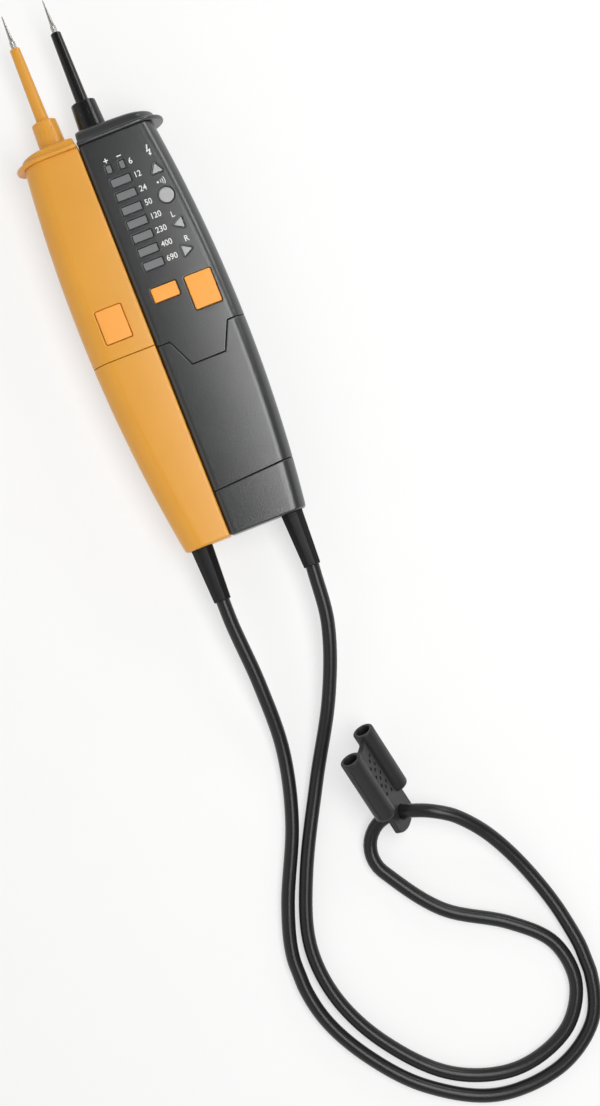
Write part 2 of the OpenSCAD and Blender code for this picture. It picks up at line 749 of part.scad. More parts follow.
// chips under the main board: their sizes, and their middles from the board's inner lower or upper corner
chip_sizes = [[10, 10], [6, 8], [5, 6]];
chip_from_corner = [[18, 19], [22, -22], [8, -24]];
module processor_chips() {
    color([0.08, 0.08, 0.08]) on_main() for (i = [0:2]) {
        from = chip_from_corner[i];
        y = (from[1] > 0 ? main_board_y0 : main_board_y1) + from[1];
        translate([board_x0 + from[0], y, board_low - chip_h / 2])
            cube([chip_sizes[i][0], chip_sizes[i][1], chip_h], center = true);
    }
}
resistor_r = 1.4;
resistor_len = 7;
resistor_pitch = 4;
// a row of resistors lying under a board, which drop the measured voltage
module resistor_row(n, x, y) {
    for (i = [0:n - 1])
        round_x(x, x + resistor_len, resistor_r, y + i * resistor_pitch, board_low - resistor_r);
}
main_row = [4, 12, -16];
second_row = [5, 4, -22];
module main_resistors() {
    color([0.75, 0.6, 0.4]) on_main()
        resistor_row(main_row[0], board_x0 + main_row[1], main_board_y1 + main_row[2]);
}
module second_resistors() {
    color([0.75, 0.6, 0.4]) on_second()
        resistor_row(second_row[0], board_x0 + second_row[1], second_board_y1 + second_row[2]);
}
buzzer_r = 6;
buzzer_h = 5;
buzzer_hole_r = 1;
module buzzer() {
    x = (board_x0 + main_board_x1) / 2;
    y = (main_board_y0 + main_board_y1) / 2;
    color([0.1, 0.1, 0.1]) on_main() translate([x, y, board_low - buzzer_h])
        difference() {
            cylinder(h = buzzer_h, r = buzzer_r);
            translate([0, 0, -overrun]) cylinder(h = overrun + buzzer_h / 2, r = buzzer_hole_r);
        }
}

cell_x = [tray_x + tray_wall + cell_r + cell_gap / 2, tray_x + tray_wall + 3 * cell_r + 3 * cell_gap / 2];
tray_w = 4 * cell_r + 2 * cell_gap + 2 * tray_wall;
bay_len = cell_len + spring_len + 2 * plate_t;
cell_z = tray_floor + cell_r;
module battery_tray() {
    color([0.15, 0.15, 0.15]) on_main() difference() {
        translate([tray_x, tray_y, wall]) cube([tray_w, bay_len + 2 * tray_wall, tray_top - wall]);
        translate([tray_x + tray_wall, tray_y + tray_wall, tray_floor])
            cube([tray_w - 2 * tray_wall, bay_len, tray_top]);
        translate([tray_x + tray_wall, tray_y + tray_wall, -overrun])
            cube([tray_w - 2 * tray_wall, bay_len, tray_floor - tray_wall + overrun]);
    }
}
nub_r = 1.9;
nub_h = 0.8;
module battery_cells() {
    color([0.25, 0.3, 0.45]) on_main() for (i = [0, 1])
        translate([cell_x[i], tray_y + tray_wall + plate_t + (1 - i) * spring_len + i * cell_len, cell_z])
            mirror([0, i, 0])
            rotate([-90, 0, 0]) {
                cylinder(h = cell_len - nub_h, r = cell_r);
                cylinder(h = cell_len, r = nub_r);
            }
}
contact_w = 7;
contact_h = 7;
module battery_contacts() {
    color([0.8, 0.8, 0.75]) on_main() for (i = [0, 1]) {
        for (y = [tray_y + tray_wall, tray_y + tray_wall + bay_len - plate_t])
            translate([cell_x[i] - contact_w / 2, y, tray_floor]) cube([contact_w, plate_t, contact_h]);
        translate([cell_x[i], tray_y + tray_wall + plate_t + i * (bay_len - 2 * plate_t), cell_z])
            mirror([0, i, 0]) rotate([-90, 0, 0])
                cylinder(h = spring_len, r1 = cell_r - nub_h, r2 = nub_r);
    }
}

module main_screws() { color([0.7, 0.7, 0.72]) on_main() screws(main_screws_at); }
module second_screws() { color([0.7, 0.7, 0.72]) on_second() screws(second_screws_at); }
module battery_cover_screw() {
    color([0.7, 0.7, 0.72]) on_main() screws(cover_screw_at);
}

// insulated wire that lies along the handle from y0 to y1 and there bends up to the board
module wire(y0, y1, x) {
    way = y1 > y0 ? 1 : -1;
    bend_y = y1 - way * wire_bend_r;
    round_y(min(y0, bend_y), max(y0, bend_y), wire_r, x, axis_z);
    translate([x, bend_y, axis_z + wire_bend_r]) mirror([0, way > 0 ? 0 : 1, 0]) rotate([90, 0, 90])
        rotate_extrude(angle = 90, start = 270) translate([wire_bend_r, 0]) circle(r = wire_r);
    translate([x, y1, axis_z + wire_bend_r]) cylinder(h = board_low - axis_z - wire_bend_r, r = wire_r);
}
module main_probe_wire() {
    color([0.7, 0.1, 0.1]) on_main() wire(sleeve_y - tip_tail_len, main_board_y1 - boss_r, main_probe_x);
}
module second_probe_wire() {
    color([0.7, 0.1, 0.1]) on_second() wire(sleeve_y - tip_tail_len, second_board_y1 - boss_r, second_probe_x);
}
module main_lead_wires() {
    color([0.15, 0.25, 0.6]) on_main() for (s = [-1, 1])
        wire(wall + relief_flange_t, main_board_y0 + 2 * boss_r, main_relief_x + s * (wire_r + touch));
}
module second_lead_wire() {
    color([0.15, 0.25, 0.6]) on_second()
        wire(wall + relief_flange_t, second_board_y0 + boss_r, second_relief_x);
}

// eight sided tapered sleeve with a neck through the wall and a flange behind it
module strain_relief(x) {
    translate([x, 0, axis_z]) rotate([90, 0, 0]) rotate([0, 0, 22.5])
        cylinder(h = relief_out, r1 = relief_root_d / 2, r2 = relief_end_d / 2, $fn = 8);
    round_y(-touch, wall + touch, relief_neck_r, x, axis_z);
    round_y(wall, wall + relief_flange_t, relief_flange_r, x, axis_z);
}
module main_strain_relief() { color([0.1, 0.1, 0.1]) on_main() strain_relief(main_relief_x); }
module second_strain_relief() { color([0.1, 0.1, 0.1]) on_second() strain_relief(second_relief_x); }

module second_front_housing() {
    color([0.93, 0.65, 0.25]) on_second() difference() {
        union() {
            intersection() {
                difference() { second_block(0); second_block(wall); }
                front_space(second_w, second_seam_y);
            }
            intersection() { second_block(0); front_bosses(second_screws_at); }
        }
        lip_cutter();
        front_pilots(second_screws_at);
        peg_holes([peg_ys[1]]);
        round_y(handle_len - wall - overrun, handle_len + overrun, wire_hole_r, second_probe_x, axis_z);
        key_opening(test_w, test_l, test_x, test_y);
    }
}
module second_rear_housing() {
    color([0.93, 0.65, 0.25]) on_second() difference() {
        union() {
            intersection() {
                difference() { second_block(0); second_block(wall); }
                rear_space(second_w, second_seam_y);
            }
            intersection() { second_block(0); rear_bosses(second_screws_at); }
            board_posts(board_x0, second_board_x1, second_board_y0, second_board_y1);
        }
        lip_cutter();
        rear_pilots(second_screws_at);
        peg_holes([peg_ys[1]]);
        round_y(handle_len - wall - overrun, handle_len + overrun, wire_hole_r, second_probe_x, axis_z);
    }
}
module second_grip_sleeve() {
    color([0.93, 0.65, 0.25]) on_second() difference() {
        intersection() {
            difference() { second_block(0); second_block(wall); }
            translate([-overrun, -overrun, -overrun])
                cube([second_w + 2 * overrun, second_seam_y - seam_gap + overrun, body_depth + 2 * overrun]);
        }
        lip_cutter();
        round_x(-overrun, wall + overrun, peg_r + peg_play, peg_ys[0], split_z);
        round_y(-overrun, wall + overrun, relief_neck_r + touch, second_relief_x, axis_z);
    }
}
// pegs that snap the second handle to the main one
module clip_pegs() {
    color([0.15, 0.15, 0.15]) on_second() for (y = peg_ys) {
        round_x(-pair_gap - wall - peg_grip, wall + touch, peg_r, y, split_z);
        round_x(wall, wall + peg_grip, peg_r + peg_flange, y, split_z);
    }
}

// one smooth line through the route, drawn as a tube whose ends are square to the strain reliefs
function chord(i) = norm(lead_route[i + 1] - lead_route[i]);
last = len(lead_route) - 1;
function slope(i) = i == 0 ? (lead_route[1] - lead_route[0]) / chord(0)
    : i == last ? (lead_route[last] - lead_route[last - 1]) / chord(last - 1)
    : (lead_route[i + 1] - lead_route[i - 1]) / (chord(i - 1) + chord(i));
function on_curve(i, u) = let (h = chord(i),
    p = (2 * u * u * u - 3 * u * u + 1) * lead_route[i] + (u * u * u - 2 * u * u + u) * h * slope(i)
        + (3 * u * u - 2 * u * u * u) * lead_route[i + 1] + (u * u * u - u * u) * h * slope(i + 1))
    [p[0], p[1], max(p[2], lead_d / 2)];
lead_points = concat(
    [for (i = [0:last - 1]) let (n = ceil(chord(i) / lead_step)) for (j = [0:n - 1]) on_curve(i, j / n)],
    [lead_route[last]]);
rings = len(lead_points);
function unit(v) = v / norm(v);
function heading(i) = i == 0 ? [0, -1, 0] : i == rings - 1 ? [0, 1, 0]
    : unit(lead_points[i + 1] - lead_points[i - 1]);
function ring(i) = let (t = heading(i), s = unit(cross(t, [0, 0, 1])), v = cross(s, t))
    [for (k = [0:lead_sides - 1]) let (a = 360 * k / lead_sides)
        lead_points[i] + lead_d / 2 * (cos(a) * s + sin(a) * v)];
module test_lead() {
    color([0.16, 0.16, 0.16]) on_lead() polyhedron(
        points = [for (i = [0:rings - 1]) each ring(i)],
        faces = concat(
            [[for (k = [0:lead_sides - 1]) k]],
            [for (i = [0:rings - 2], k = [0:lead_sides - 1])
                let (a = i * lead_sides + k, b = i * lead_sides + (k + 1) % lead_sides)
                each [[a, a + lead_sides, b], [b, a + lead_sides, b + lead_sides]]],
            [[for (k = [lead_sides - 1:-1:0]) (rings - 1) * lead_sides + k]]),
        convexity = 10);
}
echo(lead_rings = rings);

cap_edge = 1.2;
cap_web_back = 4;
cap_dip = 2;
cap_dip_r = 8;
cap_mouth_y = cap_hole_gap + cap_tube_len;
// double cap for the probes, in its own frame: the hole for the lead at the origin, mouths towards +Y
module tip_cap() {
    color([0.2, 0.2, 0.2]) on_lead() translate(cap_hole) rotate(cap_turn) difference() {
        union() {
            for (s = [-1, 1])
                translate([s * cap_step / 2, cap_hole_gap, 0]) rotate([-90, 0, 0]) rotate_extrude()
                polygon([[0, 0], [cap_tube_d / 2 - cap_edge, 0], [cap_tube_d / 2, cap_edge],
                    [cap_tube_d / 2, cap_tube_len], [0, cap_tube_len]]);
            translate([0, 0, -cap_web_t / 2]) linear_extrude(cap_web_t) difference() {
                intersection() {
                    translate([-cap_step / 2, -cap_tab_out])
                        square([cap_step, cap_tab_out + cap_mouth_y - cap_web_back]);
                    union() {
                        translate([0, cap_tab_r - cap_tab_out]) circle(r = cap_tab_r);
                        translate([-cap_step / 2, 0]) square([cap_step, cap_mouth_y]);
                    }
                }
                translate([0, cap_mouth_y - cap_web_back - cap_dip + cap_dip_r]) circle(r = cap_dip_r);
            }
        }
        for (s = [-1, 1]) translate([s * cap_step / 2, cap_mouth_y - cap_bore_len, 0])
            rotate([-90, 0, 0]) cylinder(h = cap_bore_len + overrun, d = cap_bore_d);
        translate([0, 0, -cap_tube_d]) cylinder(h = 2 * cap_tube_d, r = lead_d / 2 + cap_hole_play);
    }
}

main_front_housing();
battery_cover();
main_end_cap();
main_rear_housing();
main_finger_guard();
main_probe_sleeve();
main_probe_tip();
level_windows();
signal_windows();
small_button();
large_button();
small_key_dome();
large_key_dome();
main_circuit_board();
indicator_leds();
processor_chips();
main_resistors();
buzzer();
battery_tray();
battery_cells();
battery_contacts();
main_screws();
battery_cover_screw();
main_probe_wire();
main_lead_wires();
main_strain_relief();
second_front_housing();
second_rear_housing();
second_grip_sleeve();
second_finger_guard();
second_probe_sleeve();
second_probe_tip();
test_button();
test_key_dome();
second_circuit_board();
second_resistors();
second_screws();
clip_pegs();
second_probe_wire();
second_lead_wire();
second_strain_relief();
test_lead();
tip_cap();
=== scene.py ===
import math
import bmesh
import bpy
import numpy as np
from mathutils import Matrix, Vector
from mathutils.geometry import delaunay_2d_cdt


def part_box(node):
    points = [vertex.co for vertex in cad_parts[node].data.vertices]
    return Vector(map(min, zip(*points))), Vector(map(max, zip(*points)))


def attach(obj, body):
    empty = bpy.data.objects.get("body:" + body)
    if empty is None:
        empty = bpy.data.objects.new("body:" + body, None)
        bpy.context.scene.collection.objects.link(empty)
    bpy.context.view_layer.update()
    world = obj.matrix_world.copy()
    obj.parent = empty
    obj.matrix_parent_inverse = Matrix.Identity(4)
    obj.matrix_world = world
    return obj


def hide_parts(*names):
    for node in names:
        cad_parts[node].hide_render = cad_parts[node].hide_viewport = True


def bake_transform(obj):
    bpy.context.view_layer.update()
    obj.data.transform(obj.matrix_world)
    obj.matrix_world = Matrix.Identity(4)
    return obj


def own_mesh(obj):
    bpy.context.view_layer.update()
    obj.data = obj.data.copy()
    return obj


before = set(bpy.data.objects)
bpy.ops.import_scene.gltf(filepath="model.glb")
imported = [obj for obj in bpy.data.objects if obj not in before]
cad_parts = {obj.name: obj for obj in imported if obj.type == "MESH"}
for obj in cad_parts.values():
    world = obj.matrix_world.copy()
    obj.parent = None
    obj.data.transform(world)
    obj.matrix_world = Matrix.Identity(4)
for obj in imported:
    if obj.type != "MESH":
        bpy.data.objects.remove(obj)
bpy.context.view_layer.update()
print("frame loaded, nodes:", len(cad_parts))

# Every length is in millimetres in the part's frame until a mesh turns it into metres.
pair = {"endY": -126, "depth": 33.4, "axisZ": 17.5, "handleLen": 203, "bulge": 760, "wall": 2.0,
        "splitGap": 0.15, "edge": 0.38, "midY": 100.0}
# w: greatest width, at height wideY; cw and cd: width and depth of the round outer corner; x0 and dir: the
# side along the other handle and the way x runs from it; lip: that side's edge radius; crown: the face's fall
mainShape = {"w": 45.6, "wideY": 98, "cw": 6.5, "cd": 9, "x0": -6.1, "dir": 1, "lip": 2.3, "crown": 0.045,
             "slot": "main_housing", "finish": "sparkErodedBlackAbs"}
secondShape = {"w": 33.0, "wideY": 120, "cw": 10, "cd": 10, "x0": -6.5, "dir": -1, "lip": 0.9, "crown": 0.03,
               "slot": "second_housing", "finish": "satinYellowAbs"}
# merge is in metres, sharp in degrees, leastPatch in square millimetres
meshing = {"merge": 1e-6, "sharp": 38, "fillClear": 0.55, "leastPatch": 1e-3, "support": 0.3}


# Points at one place become one, and every face looks outwards.
def weld(mesh):
    work = bmesh.new()
    work.from_mesh(mesh)
    bmesh.ops.remove_doubles(work, verts=work.verts, dist=meshing["merge"])
    bmesh.ops.dissolve_degenerate(work, edges=work.edges, dist=meshing["merge"])
    bmesh.ops.recalc_face_normals(work, faces=work.faces)
    work.to_mesh(mesh)
    work.free()


def linked(name, data):
    made = bpy.data.objects.new(name, data)
    bpy.context.scene.collection.objects.link(made)
    return made


# The mesh that an object comes to once its modifiers or its letters are worked out.
def evaluatedMesh(obj):
    bpy.context.view_layer.update()
    return bpy.data.meshes.new_from_object(obj.evaluated_get(bpy.context.evaluated_depsgraph_get()))


def meshObject(name, points, faces, sharp=meshing["sharp"]):
    mesh = bpy.data.meshes.new(name)
    mesh.from_pydata([tuple(p) for p in np.asarray(points, float) / 1000], [], faces)
    weld(mesh)
    mesh.shade_smooth()
    mesh.set_sharp_from_angle(angle=math.radians(sharp))
    return linked(name, mesh)


def joined(name, parts):
    for obj in bpy.context.selected_objects:
        obj.select_set(False)
    for part in parts:
        part.select_set(True)
    bpy.context.view_layer.objects.active = parts[0]
    bpy.ops.object.join()
    parts[0].name = name
    return parts[0]


def finishPiece(obj, body, slotName, replaced, material=None):
    if material:
        obj.data.materials.clear()
        obj.data.materials.append(materials[material])
    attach(obj, body)
    if replaced:
        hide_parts(*replaced)
    return obj


# A skin over loops with the same number of points, closed at both ends.
def rings(loops):
    count = len(loops[0])
    faces = []
    for i in range(len(loops) - 1):
        for k in range(count):
            a, b = i * count + k, i * count + (k + 1) % count
            faces.append((a, b, b + count, a + count))
    faces.append(tuple(range(count - 1, -1, -1)))
    faces.append(tuple((len(loops) - 1) * count + k for k in range(count)))
    return np.concatenate(loops), faces


# A profile of radius and height turned about an axis along y or z.
def lathe(profile, sides, centre, axis="y"):
    turn = np.linspace(0, 2 * math.pi, sides, endpoint=False)
    along, across = (1, 2) if axis == "y" else (2, 1)
    loops = []
    for radius, height in profile:
        loop = np.zeros((sides, 3))
        loop[:, 0] = centre[0] + radius * np.cos(turn)
        loop[:, along] = centre[along] + height
        loop[:, across] = centre[across] + radius * np.sin(turn)
        loops.append(loop)
    return rings(loops)


def quarterTurn(count):
    return np.linspace(0, math.pi / 2, count)


# Points on a circle about x, y from one turn to another.
def arc(x, y, r, start, end, count):
    return [(x + r * math.cos(t), y + r * math.sin(t)) for t in np.linspace(start, end, count)]


# Steps of a quarter round edge: how far inwards, how far down.
def quarter(radius):
    return [(radius * (1 - math.cos(t)), radius * (1 - math.sin(t))) for t in quarterTurn(5)]


# A closed outline's corners turned into arcs.
def turnedCorners(corners, radius, steps=5):
    out = []
    n = len(corners)
    for i in range(n):
        p, q, r = (np.array(corners[(i + d) % n], float) for d in (-1, 0, 1))
        a, b = (p - q) / np.linalg.norm(p - q), (r - q) / np.linalg.norm(r - q)
        half = math.acos(max(-1, min(1, float(a @ b)))) / 2
        reach = radius / math.tan(half)
        middle = q + (a + b) / np.linalg.norm(a + b) * radius / math.sin(half)
        start, end = q + a * reach - middle, q + b * reach - middle
        a0, a1 = math.atan2(start[1], start[0]), math.atan2(end[1], end[0])
        a1 += 2 * math.pi * round((a0 - a1) / (2 * math.pi))
        for t in np.linspace(a0, a1, steps):
            out.append((middle[0] + radius * math.cos(t), middle[1] + radius * math.sin(t)))
    return np.array(out)


def area(poly):
    x, y = poly[:, 0], poly[:, 1]
    return 0.5 * float(np.sum(x * np.roll(y, -1) - np.roll(x, -1) * y))


def offsetLoop(poly, distance):
    ahead = np.roll(poly, -1, 0) - poly
    ahead /= np.maximum(np.linalg.norm(ahead, axis=1, keepdims=True), 1e-9)
    left = np.stack([-ahead[:, 1], ahead[:, 0]], 1)
    before = np.roll(left, 1, 0)
    # a sharp corner stays near its place
    spread = np.maximum(1 + np.sum(left * before, 1, keepdims=True), 0.35)
    return poly + distance * (left + before) / spread


def inside(points, poly):
    hit = np.zeros(len(points), bool)
    for (x0, y0), (x1, y1) in zip(poly, np.roll(poly, -1, 0)):
        if y0 == y1:
            continue
        cross = (y0 > points[:, 1]) != (y1 > points[:, 1])
        hit ^= cross & (points[:, 0] < (x1 - x0) * (points[:, 1] - y0) / (y1 - y0) + x0)
    return hit


def clearance(points, poly):
    best = np.full(len(points), 1e9)
    for a, b in zip(poly, np.roll(poly, -1, 0)):
        d = b - a
        t = np.clip(((points - a) @ d) / max(float(d @ d), 1e-12), 0, 1)
        best = np.minimum(best, np.linalg.norm(points - a - t[:, None] * d, axis=1))
    return best


# Triangles grouped into the patches that the rim lines cut them into.
def patches(triangles, rimLines):
    beside = {}
    for i, t in enumerate(triangles):
        for k in range(3):
            beside.setdefault(frozenset((t[k - 1], t[k])), []).append(i)
    left = set(range(len(triangles)))
    while left:
        todo = [left.pop()]
        patch = []
        while todo:
            t = triangles[todo.pop()]
            patch.append(t)
            for k in range(3):
                line = frozenset((t[k - 1], t[k]))
                fresh = [i for i in beside[line] if i in left and line not in rimLines]
                left.difference_update(fresh)
                todo += fresh
        yield patch


# The fill's points that lie inside the outline, outside every opening and clear of all rims.
def clearFill(fill, rims):
    if not len(fill):
        return fill
    fill = np.array(fill, float)
    keep = inside(fill, rims[0])
    for rim in rims[1:]:
        keep &= ~inside(fill, rim)
    fill = fill[keep]
    for rim in rims:
        fill = fill[clearance(fill, rim) > meshing["fillClear"]]
    return fill


# Triangles between the rims, and the points that are new to the flat domain.
def faceBetween(flat, lastRings, fill):
    rims = [flat[r] for r in lastRings]
    known = [i for ring in lastRings for i in ring]
    domain = [Vector(flat[i]) for i in known] + [Vector(p) for p in clearFill(fill, rims)]
    edges = []
    for ring in lastRings:
        at = len(edges)
        edges += [(at + k, at + (k + 1) % len(ring)) for k in range(len(ring))]
    out, lines, triangles, origins, lineOrigins, _ = delaunay_2d_cdt(domain, edges, [], 0, 1e-5)
    out = np.array([tuple(v) for v in out])
    number, extra = [], []
    for i, sources in enumerate(origins):
        if sources and sources[0] < len(known):
            number.append(known[sources[0]])
        else:
            number.append(len(flat) + len(extra))
            extra.append(out[i])
    rimLines = {frozenset(line) for line, sources in zip(lines, lineOrigins) if sources}
    faces = []
    for patch in patches(triangles, rimLines):
        size, largest = max((abs(area(out[list(t)])), t) for t in patch)
        middle = out[list(largest)].mean(0)[None]
        inOpening = any(inside(middle, rim)[0] for rim in rims[1:])
        if size > meshing["leastPatch"] and inside(middle, rims[0])[0] and not inOpening:
            faces += [tuple(number[v] for v in t) for t in patch]
    return faces, extra


# A closed skin over a flat domain: its rim and every opening get a rounded edge, its thickness is wall.
def panel(name, outer, inner, outline, holes, fill, wall, edge, band=meshing["support"]):
    loops = [outline if area(outline) > 0 else outline[::-1]]
    loops += [h if area(h) < 0 else h[::-1] for h in holes]
    steps = quarter(edge)
    flat, sink, starts, faces, lastRings = [], [], [], [], []
    for loop in loops:
        start, n = len(flat), len(loop)
        starts.append(start)
        for inwards, down in steps + [(edge + band, 0)]:
            flat.extend(offsetLoop(loop, inwards).tolist())
            sink.extend([down] * n)
        for level in range(len(steps)):
            for k in range(n):
                a, b = start + level * n + k, start + level * n + (k + 1) % n
                faces.append((a, b, b + n, a + n))
        lastRings.append(list(range(start + len(steps) * n, start + (len(steps) + 1) * n)))
    between, extra = faceBetween(np.array(flat), lastRings, fill)
    faces += between
    flat = np.array(flat + [list(p) for p in extra])
    sink = np.array(sink + [0.0] * len(extra))
    total = len(flat)
    walls = []
    for loop, start in zip(loops, starts):
        n = len(loop)
        for k in range(n):
            a, b = start + k, start + (k + 1) % n
            walls.append((a, b, b + total, a + total))
    back = [tuple(v + total for v in reversed(f)) for f in faces]
    points = np.concatenate([outer(flat, sink), inner(flat, wall)])
    return meshObject(name, points, faces + back + walls)


# The round outer corner as turn against run, from which skin reads the turn at any run.
def cornerTable(shape):
    t = quarterTurn(61)
    x, z = shape["cw"] * np.sin(t), shape["cd"] * np.cos(t)
    run = np.concatenate([[0], np.cumsum(np.hypot(np.diff(x), np.diff(z)))])
    return t, run


# The handle's curved outer side.
def edgeX(shape, y):
    return shape["w"] - pair["bulge"] + np.sqrt(pair["bulge"] ** 2 - (y - shape["wideY"]) ** 2)


# Runs along the skin at which the lip starts and ends, the corner starts and ends, and the split comes.
def runs(shape, y):
    half = pair["depth"] / 2
    lip = shape["lip"]
    a1 = half - lip
    a2 = a1 + lip * math.pi / 2
    a3 = a2 + edgeX(shape, y) - shape["cw"] - lip
    a4 = a3 + cornerTable(shape)[1][-1]
    return a1, a2, a3, a4, a4 + half - shape["cd"]


# A point of a handle's skin: a runs from the split on the inner side over the face to the split outside.
def skin(shape, a, y, inset):
    half, lip = pair["depth"] / 2, shape["lip"]
    a1, a2, a3, a4, _ = runs(shape, y)
    table, run = cornerTable(shape)
    edge = edgeX(shape, y)
    lipLeft = np.maximum(lip - inset, 0)
    reach = np.maximum(lip, inset)
    t = np.clip((a - a1) / lip, 0, math.pi / 2)
    x = reach - lipLeft * np.cos(t)
    z = half - reach + lipLeft * np.sin(t)
    z = np.where(a < a1, np.minimum(a, half - reach), z)
    x = np.where(a < a1, inset, x)
    onFace = a > a2
    x = np.where(onFace, np.maximum(lip + a - a2, reach), x)
    z = np.where(onFace, half - inset, z)
    s = np.interp(np.clip(a - a3, 0, run[-1]), run, table)
    nx, nz = np.sin(s) / shape["cw"], np.cos(s) / shape["cd"]
    size = np.hypot(nx, nz)
    cornerX = edge - shape["cw"] + shape["cw"] * np.sin(s) - inset * nx / size
    cornerZ = half - shape["cd"] + shape["cd"] * np.cos(s) - inset * nz / size
    x = np.where(a > a3, cornerX, x)
    z = np.where(a > a3, cornerZ, z)
    x = np.where(a > a4, edge - inset, x)
    z = np.where(a > a4, half - shape["cd"] - (a - a4), z)
    u = (x - shape["w"] / 2) / (shape["w"] / 2)
    return x, z * (1 - shape["crown"] * u * u)


# Places on a handle in the part's frame: x is an array, y and z are arrays or single values.
def placed(shape, x, y, z):
    return np.stack(np.broadcast_arrays(shape["x0"] + shape["dir"] * x, pair["endY"] + y, z), 1)


def placedPoint(shape, x, y, z):
    return shape["x0"] + shape["dir"] * x, pair["endY"] + y, z


def faceTop(shape, x):
    u = (x - shape["w"] / 2) / (shape["w"] / 2)
    return pair["depth"] / 2 * (2 - shape["crown"] * u * u)


def onFace(shape, x):
    return runs(shape, pair["midY"])[1] + x - shape["lip"]


# Spacing of a shell's points: rows along the handle, columns over its side, lip, face and outer corner.
grid = {"row": 2.3, "firstRow": 1.2, "lastRow": 0.8, "side": (2, 5, 8.5, 12), "beforeLip": 1.3, "lipParts": 4,
        "afterLip": 1.2, "faceFrom": 3.2, "face": 2.4, "beforeCorner": 1, "cornerParts": 9, "splitClear": 0.6}


def shellColumns(shape, y):
    a1, a2, a3, a4, a5 = (float(v) for v in runs(shape, y))
    lipParts, cornerParts, face = grid["lipParts"], grid["cornerParts"], grid["face"]
    faceParts = max(2, int((a3 - a2 - grid["faceFrom"] - face) / face))
    columns = [*grid["side"], a1 - grid["beforeLip"], a1]
    columns += [a1 + (a2 - a1) * k / lipParts for k in range(1, lipParts)]
    columns += [a2, a2 + grid["afterLip"]]
    columns += list(np.linspace(a2 + grid["faceFrom"], a3 - face, faceParts))
    columns += [a3 - grid["beforeCorner"], a3]
    columns += [a3 + (a4 - a3) * k / cornerParts for k in range(1, cornerParts)]
    columns += [a4, a4 + face, a4 + 2 * face]
    return [a for a in columns if a < a5 - grid["splitClear"]]


def halfShell(name, shape, outline, holes, rear=False, band=meshing["support"]):
    side = -1 if rear else 1

    def outer(flat, sink):
        x, z = skin(shape, flat[:, 0], flat[:, 1], sink)
        return placed(shape, x, flat[:, 1], pair["depth"] / 2 + side * z)

    def inner(flat, wall):
        return outer(flat, np.full(len(flat), wall))

    low, high = outline[:, 1].min() + grid["firstRow"], outline[:, 1].max() - grid["lastRow"]
    rows = np.arange(low, high, grid["row"])
    fill = [(a, y) for y in rows for a in shellColumns(shape, y)]
    return panel(name, outer, inner, outline, holes, fill, pair["wall"], pair["edge"], band=band)


seamSteps = {"lip": 0.3, "lipReach": 0.4, "across": 0.9, "along": 2.3, "least": 0.75, "outerSide": 2.5}


# An outline with points set along its sides, closest together where it runs over the lip.
def sampled(shape, corners):
    out = []
    a1, a2, *_ = runs(shape, pair["midY"])
    for p, q in zip(corners, corners[1:] + corners[:1]):
        p, q = np.array(p, float), np.array(q, float)
        length = np.linalg.norm(q - p)
        at = 0.0
        while at == 0 or at < length - seamSteps["least"]:
            here = p + (q - p) * at / length
            out.append(here)
            across = abs(q[0] - p[0]) > abs(q[1] - p[1])
            nearLip = a1 - seamSteps["lipReach"] < here[0] < a2 + seamSteps["lipReach"]
            at += seamSteps["lip" if nearLip else "across" if across else "along"]
    return np.array(out)


pegs = {"r": 2.8, "low": 60, "high": 160}


# Half of the hole that a snap peg passes through, at the split beside the other handle.
def pegNotch(y):
    gap, r = pair["splitGap"], pegs["r"]
    return [(gap + max(r * math.cos(t) - gap, 0), y + r * math.sin(t))
            for t in np.linspace(math.pi / 2, -math.pi / 2, 15)]


def outerSide(shape, y0, y1):
    steps = max(2, int(abs(y1 - y0) / seamSteps["outerSide"]))
    return [(float(runs(shape, y)[4]) - pair["splitGap"], float(y)) for y in np.linspace(y0, y1, steps)]


# The slanted seam above the main handle's lower end: its middle, its slant, how far past the sides it runs.
endSeam = {"y": 24, "slant": 2.8, "over": 1, "skinY": 25.0, "gap": 0.3}


def endSeamLevel(x):
    wide = mainShape["w"] + 2 * endSeam["over"]
    return endSeam["y"] - endSeam["slant"] / 2 + endSeam["slant"] * (x + endSeam["over"]) / wide


def endSeamLine():
    gap, level = pair["splitGap"], endSeam["skinY"]
    line = []
    for a in np.linspace(gap, float(runs(mainShape, level)[4]) - gap, 90):
        x, _ = skin(mainShape, np.array([a]), np.array([level]), 0.0)
        line.append((float(a), endSeamLevel(float(x[0])) + endSeam["gap"]))
    return line


cup = {"round": 1.3, "ringY": 10.0, "side": (0.0, 4, 8, 12), "beforeLip": 0.8, "lipParts": 5, "faceParts": 15,
       "cornerParts": 10, "outer": (0, 0.35, 0.7), "floor": 1.0, "rimClear": 0.4}


